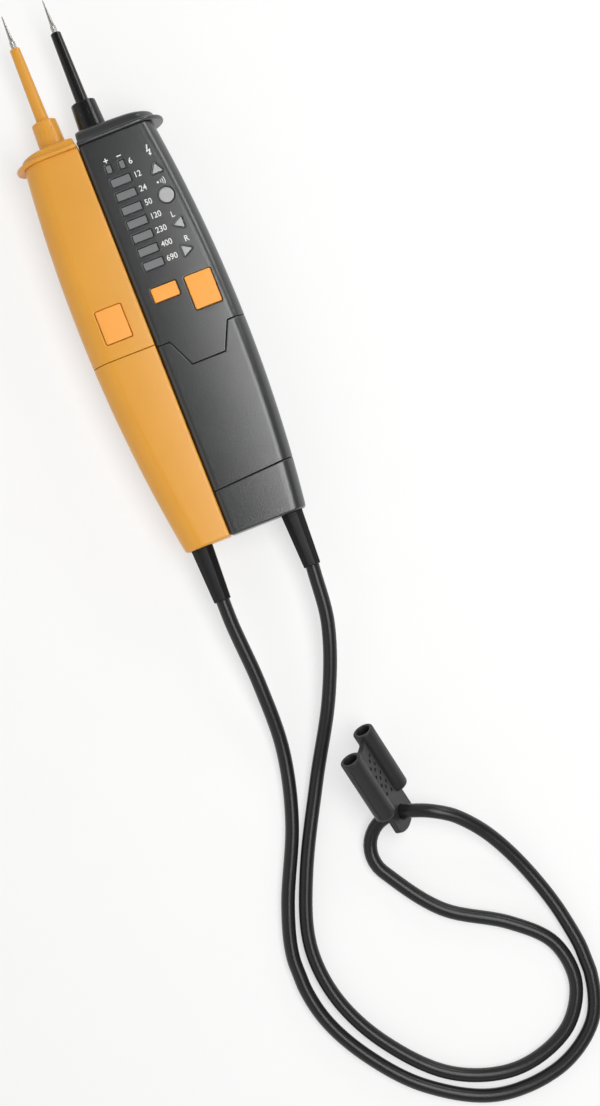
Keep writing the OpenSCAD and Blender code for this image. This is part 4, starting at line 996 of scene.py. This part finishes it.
# The flange with its round edge and the collar that rises from it, highest round the probe.
def guardCollar(p):
    r, y0, high, foot = guard["round"], pair["handleLen"], p["collar"], guard["foot"]
    y1 = y0 + guard["t"]
    rows = [(r, y0 + 0.02)]
    rows += [(r * (1 - math.sin(a)), y0 + r * (1 - math.cos(a))) for a in quarterTurn(7)]
    rows += [(r * (1 - math.cos(a)), y1 - r + r * math.sin(a)) for a in quarterTurn(7)]
    loops = [guardRing(p, inwards, inwards, min(inwards, guard["inner"]), guard["oval"], guard["corner"], y)
             for inwards, y in rows]
    for sideIn, faceIn, innerIn, y in guard["cove"]:
        loops.append(guardRing(p, sideIn, faceIn, innerIn, guard["coveOval"], guard["corner"], y1 + y))

    def topLevel(drop):
        def level(x):
            outwards = np.clip((x - p["x"]) / (p["w"] - p["x"]), 0, 1)
            return y1 + (high - drop) * (1 - guard["fall"] * outwards ** 2)
        return level

    loops.append(guardRing(p, foot + 0.5, foot + 0.25, 0.6, guard["wallOval"], 1.3,
                           topLevel(high * guard["wallDrop"])))
    for a in np.linspace(0.1, math.pi / 2, 8):
        inwards = guard["shoulder"] * (1 - math.cos(a))
        loops.append(guardRing(p, foot + 0.7 + inwards, foot + 0.4 + inwards * 0.8, 0.7 + inwards * 0.3,
                               guard["topOval"], 1.4 + inwards * 0.4,
                               topLevel(high * guard["topDrop"] * (1 - math.sin(a)))))
    for step in guard["inside"]:
        loops.append(guardRing(p, foot + 4.3 + step, foot + 3.3 + step, 1.8 + step * 0.6,
                               guard["topOval"] - step * 0.8, 2.8, topLevel(0)))
    return meshObject("collar", *rings(loops), 50)


# The socket in the collar that holds the probe's sleeve: a coved foot, a slightly slimmer end, a round edge.
def probeSocket(p, centre):
    high, rootR, cove, edge = p["collar"], p["rootR"], socket["cove"], socket["edge"]
    end = p["socketEnd"] - pair["handleLen"] - guard["t"]
    skirtR, skirtY = rootR + socket["skirt"], high - socket["sunk"]
    profile = [(socket["bore"], 0.5), (skirtR, 0.5), (skirtR, skirtY)]
    profile += [(skirtR - cove * math.sin(a), skirtY + cove * (1 - math.cos(a))) for a in quarterTurn(6)]
    profile += [(rootR + (socket["topR"] - rootR) * f, high + 1.8 + (end - high - 2.6) * f)
                for f in np.linspace(0, 1, 7)]
    profile += arc(socket["topR"] - edge, end - edge, edge, 0.2, math.pi / 2, 5)
    mouth = socket["mouthR"]
    profile += [(mouth + 0.2, end), (mouth, end - 0.15), (mouth - 0.2, end - edge),
                (socket["bore"], end - edge)]
    return meshObject("socket", *lathe(profile, 56, centre))


# Short grip ribs on the front and the back of the socket.
def socketRibs(p, centre):
    bar = rectangle(0, 0, ribShape["w"], ribShape["len"], ribShape["round"], 5)
    loops = [np.stack([bar[:, 0] * s, bar[:, 1] * (1 - (1 - s) * 0.15), np.full(len(bar), z)], 1)
             for s, z in ribShape["rows"]]
    angles = np.radians([a + side for side in (0, 180) for a in ribShape["angles"]])
    r, y = ribShape["r"], pair["endY"] + p["socketEnd"] - ribShape["below"]
    places = [(centre[0] + r * math.sin(a), y, centre[2] + r * math.cos(a)) for a in angles]
    rib = meshObject("rib", *rings(loops))
    return repeats(p["name"] + "Ribs", rib, places, [(0.02, a, 0) for a in angles], p["finish"])


def fingerGuard(p):
    centre = placedPoint(p["shape"], p["x"], pair["handleLen"] + guard["t"], pair["axisZ"])
    collar, nose = guardCollar(p), probeSocket(p, centre)
    collar.data.materials.append(materials[p["rimFinish"]])
    nose.data.materials.append(materials[p["finish"]])
    whole = joined(p["name"] + "Guard", [collar, nose, socketRibs(p, centre)])
    finishPiece(whole, p["body"], p["slot"], [p["name"] + "_finger_guard"])


# The sleeve: a plug in the socket, then a taper from rootR to endR with a round edge of radius edge.
sleeveShape = {"bore": 1.2, "plugR": 3.3, "plugLen": 4.2, "inSocket": 3, "rootR": 3.22, "rootAt": 4.5,
               "endR": 2.6, "edge": 0.6, "end": 262.7}
# The contact tip: a tail in the sleeve, the ringed seat that an adapter is pushed on, and a slim pointed pin.
tipShape = {"tailR": 1.0, "tail": 4, "seatR": 1.32, "seatLen": 3.8, "pinR": 1.14, "pinFrom": 0.3,
            "pointR": 0.3, "point": 0.45, "end": 280.0, "rings": 5, "ringFrom": 0.45, "ringStep": 0.72,
            "ring": ((1.25, -0.28), (1.42, -0.26), (1.5, -0.12), (1.5, 0.12), (1.42, 0.26), (1.25, 0.28))}


def probeSleeve(p, centre, y1):
    bore, edge, rootR, endR = (sleeveShape[size] for size in ("bore", "edge", "rootR", "endR"))
    y0 = pair["endY"] + p["socketEnd"] - sleeveShape["inSocket"]
    root = y0 + sleeveShape["rootAt"]
    profile = [(bore, y0), (sleeveShape["plugR"], y0), (sleeveShape["plugR"], y0 + sleeveShape["plugLen"]),
               (rootR, root)]
    profile += [(rootR - (rootR - endR) * f, root + (y1 - edge - root) * f) for f in np.linspace(0.05, 1, 10)]
    profile += arc(endR - edge, y1 - edge, edge, 0.2, math.pi / 2, 5)
    profile += [(bore + 0.1, y1), (bore, y1 - 0.3)]
    sleeve = meshObject(p["name"] + "Sleeve", *lathe(profile, 40, centre))
    finishPiece(sleeve, p["body"], p["slot"], [p["name"] + "_probe_sleeve"], p["finish"])


def probeTip(p, centre, y1):
    tailR, seatR, pinR, pointR = (tipShape[size] for size in ("tailR", "seatR", "pinR", "pointR"))
    seat, point = y1 + tipShape["seatLen"], tipShape["point"]
    pin, end = seat + tipShape["pinFrom"], pair["endY"] + tipShape["end"]
    profile = [(tailR, y1 - tipShape["tail"]), (tailR, y1 - 0.1), (seatR, y1), (seatR, seat - 0.1),
               (1.2, seat + 0.2)]
    profile += [(pinR - (pinR - pointR) * f, pin + (end - point - pin) * f) for f in np.linspace(0, 1, 9)]
    profile += [(pointR * math.cos(a), end - point + point * math.sin(a)) for a in (0.4, 0.8, 1.2, 1.5)]
    tip = meshObject("tip", *lathe(profile, 28, centre))
    ring = meshObject("ring", *lathe(tipShape["ring"], 28, (0, 0, 0)))
    places = [(centre[0], y1 + tipShape["ringFrom"] + i * tipShape["ringStep"], centre[2])
              for i in range(tipShape["rings"])]
    turned = repeats(p["name"] + "TipRings", ring, places, [(0, 0, 0)] * len(places), "nickelPlatedBrass")
    whole = joined(p["name"] + "Tip", [tip, turned])
    finishPiece(whole, p["body"], "plated_tip", [p["name"] + "_probe_tip"], "nickelPlatedBrass")


def probe(p):
    centre = (p["shape"]["x0"] + p["shape"]["dir"] * p["x"], 0, pair["axisZ"])
    sleeveEnd = pair["endY"] + sleeveShape["end"]
    probeSleeve(p, centre, sleeveEnd)
    probeTip(p, centre, sleeveEnd)


for which in ("main", "second"):
    fingerGuard(probes[which])
    probe(probes[which])

print("building keys, windows and print")

# A flange under the face keeps the key in; its wall has a small gap to the hole, its top a faint dome.
# rows: growth, height and corner of the flange's two rings and the wall's two
keyShape = {"rows": ((0.9, 29.8, 1.4), (0.9, 31.0, 1.4), (-0.02, 31.0, 0.8), (-0.02, 33.0, 0.8)),
            "leastCorner": 0.15, "round": 0.5, "dome": 0.16, "topCorner": 0.3}


def keyCap(name, key, body):
    shape, r, dome = key["shape"], keyShape["round"], keyShape["dome"]
    top = faceTop(shape, key["x"]) + key["proud"]

    def ringAt(grow, z, corner):
        corner = max(corner, keyShape["leastCorner"])
        loop = rectangle(0, 0, key["w"] + 2 * grow, key["l"] + 2 * grow, corner, 8)
        return placed(shape, key["x"] + loop[:, 0], key["y"] + loop[:, 1], z)

    loops = [ringAt(*row) for row in keyShape["rows"]]
    wall, _, corner = keyShape["rows"][-1]
    for a in quarterTurn(7):
        inwards = r * (1 - math.cos(a))
        height = top - dome - r * (1 - math.sin(a))
        loops.append(ringAt(wall - inwards, height, corner - inwards))
    reach = (min(key["w"], key["l"]) / 2 - r) * 0.7
    for f in np.linspace(0, 1, 6)[1:]:
        loops.append(ringAt(wall - r - reach * f, top - dome * (1 - f) ** 2, keyShape["topCorner"]))
    obj = meshObject(name, *rings(loops), sharp=50)
    finishPiece(obj, body, "key", [body], "softTouchOrange")


keyCap("smallKey", keys["small"], "small_button")
keyCap("largeKey", keys["large"], "large_button")
keyCap("testKey", keys["test"], "test_button")


# A rubber dome between board and key: a broad foot, a thin cone wall that gives way and a blunt head.
def keyDome(name, key, body):
    r = min(key["w"] / 3, key["l"] / 2)
    foot, head = 23.6, 29.5
    profile = [(r - 0.1, 0), (r, 0.1), (r, 0.75), (r - 0.15, 0.95), (r * 0.9, 1.05), (r * 0.84, 1.3)]
    profile += [(r * (0.84 - 0.2 * f), 1.3 + 3.1 * f) for f in (0.33, 0.67, 1)]
    profile += [(r * 0.62, 4.7), (r * 0.62, 5.7), (r * 0.62 - 0.2, 5.9), (0.4, 5.9)]
    place = placedPoint(key["shape"], key["x"], key["y"], foot)
    dome = meshObject(name + "Dome", *lathe(profile, 36, place, "z"))
    finishPiece(dome, body, "dome_rubber", [name + "_key_dome"], "castSiliconeGrey")
    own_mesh(dome)


keyDome("small", keys["small"], "root")
keyDome("large", keys["large"], "root")
keyDome("test", keys["test"], "second_handle")

# sunk: how far a lens lies under the face; edge: its round edge; inner: the flat top's last ring
lensShape = {"sunk": 0.14, "foot": 30.6, "edge": 0.3, "inner": 0.8, "plateLow": 29.6, "plateHigh": 31.0,
             "plateCorner": 0.8, "levelPlate": (7.5, 133.5, 19.5, 190.3),
             "signalPlate": (27.8, 133.5, 35.4, 182.7)}


def lens(spec):
    middle = np.mean(windowShape(spec, 0), 0)
    top, edge = faceTop(mainShape, middle[0]) - lensShape["sunk"], lensShape["edge"]
    rows = [(0, lensShape["foot"]), (0, top - edge), (-0.3 * edge, top - 0.3 * edge), (-edge, top)]
    outlines = [windowShape(spec, grow) for grow, _ in rows]
    if spec[0] == "arrow":
        outlines.append(middle + (windowShape(spec, -0.35) - middle) * 0.8)
    else:
        outlines.append(windowShape(spec, -lensShape["inner"]))
    heights = [z for _, z in rows] + [top]
    loops = [placed(mainShape, loop[:, 0], loop[:, 1], z) for loop, z in zip(outlines, heights)]
    return meshObject("lens", *rings(loops))


def plate(x0, y0, x1, y1):
    loop = rectangle((x0 + x1) / 2, (y0 + y1) / 2, x1 - x0, y1 - y0, lensShape["plateCorner"])
    loops = [placed(mainShape, loop[:, 0], loop[:, 1], z)
             for z in (lensShape["plateLow"], lensShape["plateHigh"])]
    return meshObject("guide", *rings(loops))


finishPiece(joined("levelLenses", [lens(w) for w in windows] + [plate(*lensShape["levelPlate"])]),
            "root", "window", ["level_windows"], "smokedAcrylic")
finishPiece(joined("signalLenses", [lens(w) for w in signals] + [plate(*lensShape["signalPlate"])]),
            "root", "window", ["signal_windows"], "frostedAcrylic")

# thick and bold: a letter's height and how far it is widened; lift: its middle above the face; narrow: its
# width share; top and foot: a drawn mark's heights about the face
ink = {"thick": 0.05, "bold": 0.035, "lift": 0.02, "narrow": 0.92, "top": 0.045, "foot": -0.02, "wall": 0.06,
       "edge": 0.01, "band": 0.04}
# number and letter: heights of type; dot, waves and waveW: the sound sign's radii and line; pairs are places
marks = {"numbers": ("690", "400", "230", "120", "50", "24", "12"), "numberX": 20.3, "number": 4.1,
         "letter": 4.2, "left": (30.9, 155.6), "right": (32.9, 142.3), "plus": (10.1, 191.6),
         "plusHalf": (1.15, 0.28), "minus": (16.9, 191.6), "minusSize": (2.2, 0.55), "bolt": (31.4, 189.0),
         "sound": (29.9, 172.7), "dot": 0.55, "waves": (1.75, 2.75, 3.75), "waveW": 0.36, "waveTurn": 0.52}


def printText(text, x, y, size, align="LEFT"):
    curve = bpy.data.curves.new("print" + text, "FONT")
    curve.body = text
    curve.size = size / 1000
    curve.align_x = align
    curve.align_y = "CENTER"
    curve.offset = ink["bold"] / 1000
    curve.extrude = ink["thick"] / 2000
    curve.resolution_u = 6
    obj = linked("print" + text, curve)
    height = faceTop(mainShape, x) + ink["lift"]
    obj.location = np.array(placedPoint(mainShape, x, y, height)) / 1000
    obj.scale = (ink["narrow"], 1, 1)
    mesh = evaluatedMesh(obj)
    mesh.transform(obj.matrix_world)
    bpy.data.objects.remove(obj)
    weld(mesh)
    return linked("print", mesh)


# A flat mark that follows the face; under takes the wall because panel gives it.
def inkShape(outline, holes=()):
    def top(flat, sink):
        return placed(mainShape, flat[:, 0], flat[:, 1], faceTop(mainShape, flat[:, 0]) + ink["top"] - sink)

    def under(flat, wall):
        return placed(mainShape, flat[:, 0], flat[:, 1], faceTop(mainShape, flat[:, 0]) + ink["foot"])

    return panel("print", top, under, np.array(outline, float), [np.array(h, float) for h in holes], [],
                 ink["wall"], ink["edge"], band=ink["band"])


def boldPlus(x, y):
    a, b = marks["plusHalf"]
    corners = [(-a, -b), (-b, -b), (-b, -a), (b, -a), (b, -b), (a, -b)]
    corners += [(-p, -q) for p, q in corners]
    return inkShape([(x + p, y + q) for p, q in corners])


def wave(x, y, r):
    turn = marks["waveTurn"]
    outer, inner = (arc(x, y, size, -turn, turn, 9) for size in (r, r - marks["waveW"]))
    return inkShape(outer + inner[::-1])


printed = [printText(number, marks["numberX"], layout["barY"] + i * layout["pitch"], marks["number"])
           for i, number in enumerate(marks["numbers"])]
printed += [printText("6", marks["numberX"], layout["poleY"], marks["letter"]),
            printText("L", *marks["left"], marks["letter"], "CENTER"),
            printText("R", *marks["right"], marks["letter"], "CENTER")]
printed.append(boldPlus(*marks["plus"]))
printed.append(inkShape(rectangle(*marks["minus"], *marks["minusSize"])))
bolt = [(0.45, 2.8), (-0.3, 2.8), (-1.3, -0.75), (0.15, -0.3), (-0.2, -1.65), (-0.75, -1.45), (0, -2.9),
        (0.95, -1.85), (0.35, -1.8), (1.0, 0.55), (-0.4, 0.1)]
printed.append(inkShape([(marks["bolt"][0] + x, marks["bolt"][1] + y) for x, y in bolt]))
printed.append(inkShape(circle(*marks["sound"], marks["dot"], 20)))
printed += [wave(*marks["sound"], r) for r in marks["waves"]]
finishPiece(joined("whitePrint", printed), "root", None, None, "screenPrintWhite")

# Black lines round the signal windows: their outer and inner edges, out from the windows.
frameSizes = {"arrow": (0.95, 0.72), "arrowCorner": 0.3, "lamp": (0.75, 0.45)}


def frameLine(spec):
    if spec[0] == "arrow":
        corner = frameSizes["arrowCorner"]
        outer, inner = (arrowShape(*spec[1:], grow, corner) for grow in frameSizes["arrow"])
    else:
        outer, inner = (circle(*spec[1:], layout["lamp"] / 2 + grow, 48) for grow in frameSizes["lamp"])
    return inkShape(outer, [inner])


frames = [frameLine(spec) for spec in signals[1:] + signals[:1]]
finishPiece(joined("blackPrint", frames), "root", None, None, "screenPrintBlack")

print("building strain reliefs")

# root and end: across the sleeve's flats; neck, flange: the round part that holds it in the lower end's floor
relief = {"root": 11.8, "end": 9.2, "out": 28, "chamfer": 0.22, "corner": 0.55, "lip": 0.5, "gap": 0.3,
          "neck": 4.4, "neckOut": 0.5, "flange": 5.4, "flangeT": 2.4, "flangeBore": 3, "mainX": 31.6,
          "secondX": 15.5}


def strainRelief(name, shape, x, body, replaced):
    c, out, root, end, wall = relief["chamfer"], relief["out"], relief["root"], relief["end"], pair["wall"]
    eighths = [math.radians(22.5 + 45 * k) for k in range(8)]

    def octagon(across, y):
        corners = [(across / 2 * math.cos(a), across / 2 * math.sin(a)) for a in eighths]
        flat = turnedCorners(corners, c / math.tan(eighths[0]) * relief["corner"], 4)
        return placed(shape, x + flat[:, 0], y, pair["axisZ"] + flat[:, 1])

    loops = [octagon(root - 2 * c, 0.0), octagon(root, -c)]
    loops += [octagon(root + (end - root) * f, -out * f) for f in np.linspace(0.04, 0.985, 8)]
    loops += [octagon(end - relief["lip"], -out), octagon(lead["d"] + relief["gap"], -out)]
    sleeve = meshObject(name, *rings(loops), sharp=10)
    innerEnd = wall + relief["flangeT"]
    profile = [(relief["neck"], -relief["neckOut"]), (relief["neck"], wall), (relief["flange"], wall),
               (relief["flange"], innerEnd), (relief["flangeBore"], innerEnd)]
    neck = meshObject("neck", *lathe(profile, 32, placedPoint(shape, x, 0, pair["axisZ"])))
    finishPiece(joined(name, [sleeve, neck]), body, "lead_rubber", [replaced], "mouldedSoftPvc")


strainRelief("mainRelief", mainShape, relief["mainX"], "root", "main_strain_relief")
strainRelief("secondRelief", secondShape, relief["secondX"], "second_handle", "second_strain_relief")

print("painting the inner pieces")

innerFinishes = {
    "greenSolderMask": ("main_circuit_board", "second_circuit_board"),
    "castLedResin": ("indicator_leds",),
    "mouldedBlackEpoxy": ("processor_chips", "buzzer"),
    "lacqueredCeramic": ("main_resistors", "second_resistors"),
    "sparkErodedBlackAbs": ("battery_tray", "clip_pegs"),
    "shrunkBlueFilm": ("battery_cells",),
    "nickelPlatedSteel": ("battery_contacts",),
    "zincPlatedSteel": ("main_screws", "battery_cover_screw", "second_screws"),
    "redWirePvc": ("main_probe_wire", "second_probe_wire"),
    "blueWirePvc": ("main_lead_wires", "second_lead_wire")}
painted = set()
for finishName, nodes in innerFinishes.items():
    for node in nodes:
        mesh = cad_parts[node].data
        mesh.materials.clear()
        mesh.materials.append(materials[finishName])
        painted.add(node)
missed = [n for n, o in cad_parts.items() if not o.hide_render and n not in painted]
print("nodes without a finish:", missed)

print("building floor and light")

# walls, right, ceiling: the surroundings' brightness; level, side and lift: where it changes, in the way's z,
# x and z; reach and below: the floor's half size and depth in metres; glow: see backdropPaper
studio = {"walls": 0.64, "right": 0.3, "ceiling": 0.08, "level": (0.6, 0.97), "side": (0.0, 0.6),
          "lift": (0.03, 0.25), "floor": "#fdfdfc", "floorShade": "#f9f9f8", "reach": 30, "below": 0.0002,
          "glow": 0.6}
# name, place in metres, tilt about y in degrees, size in metres, power in watts
lamps = [("keyLight", (0.31, -0.25, 1.0), 0, (0.48, 0.9), 7.8),
         ("fillLight", (-0.75, -0.25, 0.9), -40, (0.7, 1.2), 0.72),
         ("stripLight", (0.7, 0.36, 0.42), 62, (0.25, 0.5), 1.9)]
floorMesh = bpy.data.meshes.new("floor")
floorCorners = [(x * studio["reach"], y * studio["reach"], -studio["below"])
                for x, y in ((-1, -1), (1, -1), (1, 1), (-1, 1))]
floorMesh.from_pydata(floorCorners, [], [(0, 1, 2, 3)])
floor = linked("floor", floorMesh)


# Backdrop paper: what looks straight at it sees much of it plain white, so it stays pale far away too.
def backdropPaper(base):
    tree = base.node_tree
    out = next(n for n in tree.nodes if n.type == "OUTPUT_MATERIAL")
    paper = out.inputs["Surface"].links[0].from_socket

    def maths(operation, values, links):
        return addNode(tree, "ShaderNodeMath", values, links, operation=operation).outputs[0]

    ray = addNode(tree, "ShaderNodeLightPath").outputs
    seen = maths("MAXIMUM", {}, {0: ray["Is Camera Ray"], 1: ray["Is Glossy Ray"]})
    seen = maths("MAXIMUM", {}, {0: seen, 1: ray["Is Transmission Ray"]})
    share = maths("MULTIPLY", {1: studio["glow"]}, {0: seen})
    white = addNode(tree, "ShaderNodeEmission", {"Color": (1, 1, 1, 1), "Strength": 1.0})
    mixed = addNode(tree, "ShaderNodeMixShader", {}, {0: share, 1: paper, 2: white.outputs[0]})
    tree.links.new(mixed.outputs[0], out.inputs["Surface"])
    return base


# uncoated paper: an even white that takes soft shadows and no shine
paperFinish = finish(studio["floor"], studio["floorShade"], 0.9, 1.7, 0.05)
floorMesh.materials.append(backdropPaper(makeMaterial("matteWhitePaper", paperFinish)))


# A studio's surroundings: pale walls, dimmer above the horizon on the right, a dark ceiling over the camera.
def studioWorld():
    world = bpy.data.worlds.new("studio")
    world.use_nodes = True
    tree = world.node_tree
    tree.nodes.clear()

    def mapped(source, ends, low=0.0, high=1.0):
        return addNode(tree, "ShaderNodeMapRange", {"From Min": ends[0], "From Max": ends[1], "To Min": low,
                                                    "To Max": high}, {"Value": source}).outputs[0]

    way = addNode(tree, "ShaderNodeTexCoord").outputs["Generated"]
    parts = addNode(tree, "ShaderNodeSeparateXYZ", {}, {"Vector": way}).outputs
    level = mapped(parts["Z"], studio["level"], studio["walls"], studio["ceiling"])
    side = mapped(parts["X"], studio["side"], 1.0, studio["right"])
    lift = mapped(parts["Z"], studio["lift"])
    share = addNode(tree, "ShaderNodeMix", {2: 1.0}, {0: lift, 3: side}, data_type="FLOAT")
    both = addNode(tree, "ShaderNodeMath", {}, {0: level, 1: share.outputs[0]}, operation="MULTIPLY")
    shown = addNode(tree, "ShaderNodeBackground", {"Color": (1, 1, 1, 1)}, {"Strength": both.outputs[0]})
    addNode(tree, "ShaderNodeOutputWorld", {}, {"Surface": shown.outputs[0]})
    return world


bpy.context.scene.world = studioWorld()


def softLight(name, place, turn, size, power):
    data = bpy.data.lights.new(name, "AREA")
    data.shape = "RECTANGLE"
    data.size, data.size_y = size
    data.energy = power
    obj = linked(name, data)
    obj.location = place
    obj.rotation_euler = (0, math.radians(turn), 0)


for lamp in lamps:
    softLight(*lamp)
bpy.context.scene.view_settings.view_transform = "Standard"
bpy.context.scene.view_settings.look = "None"
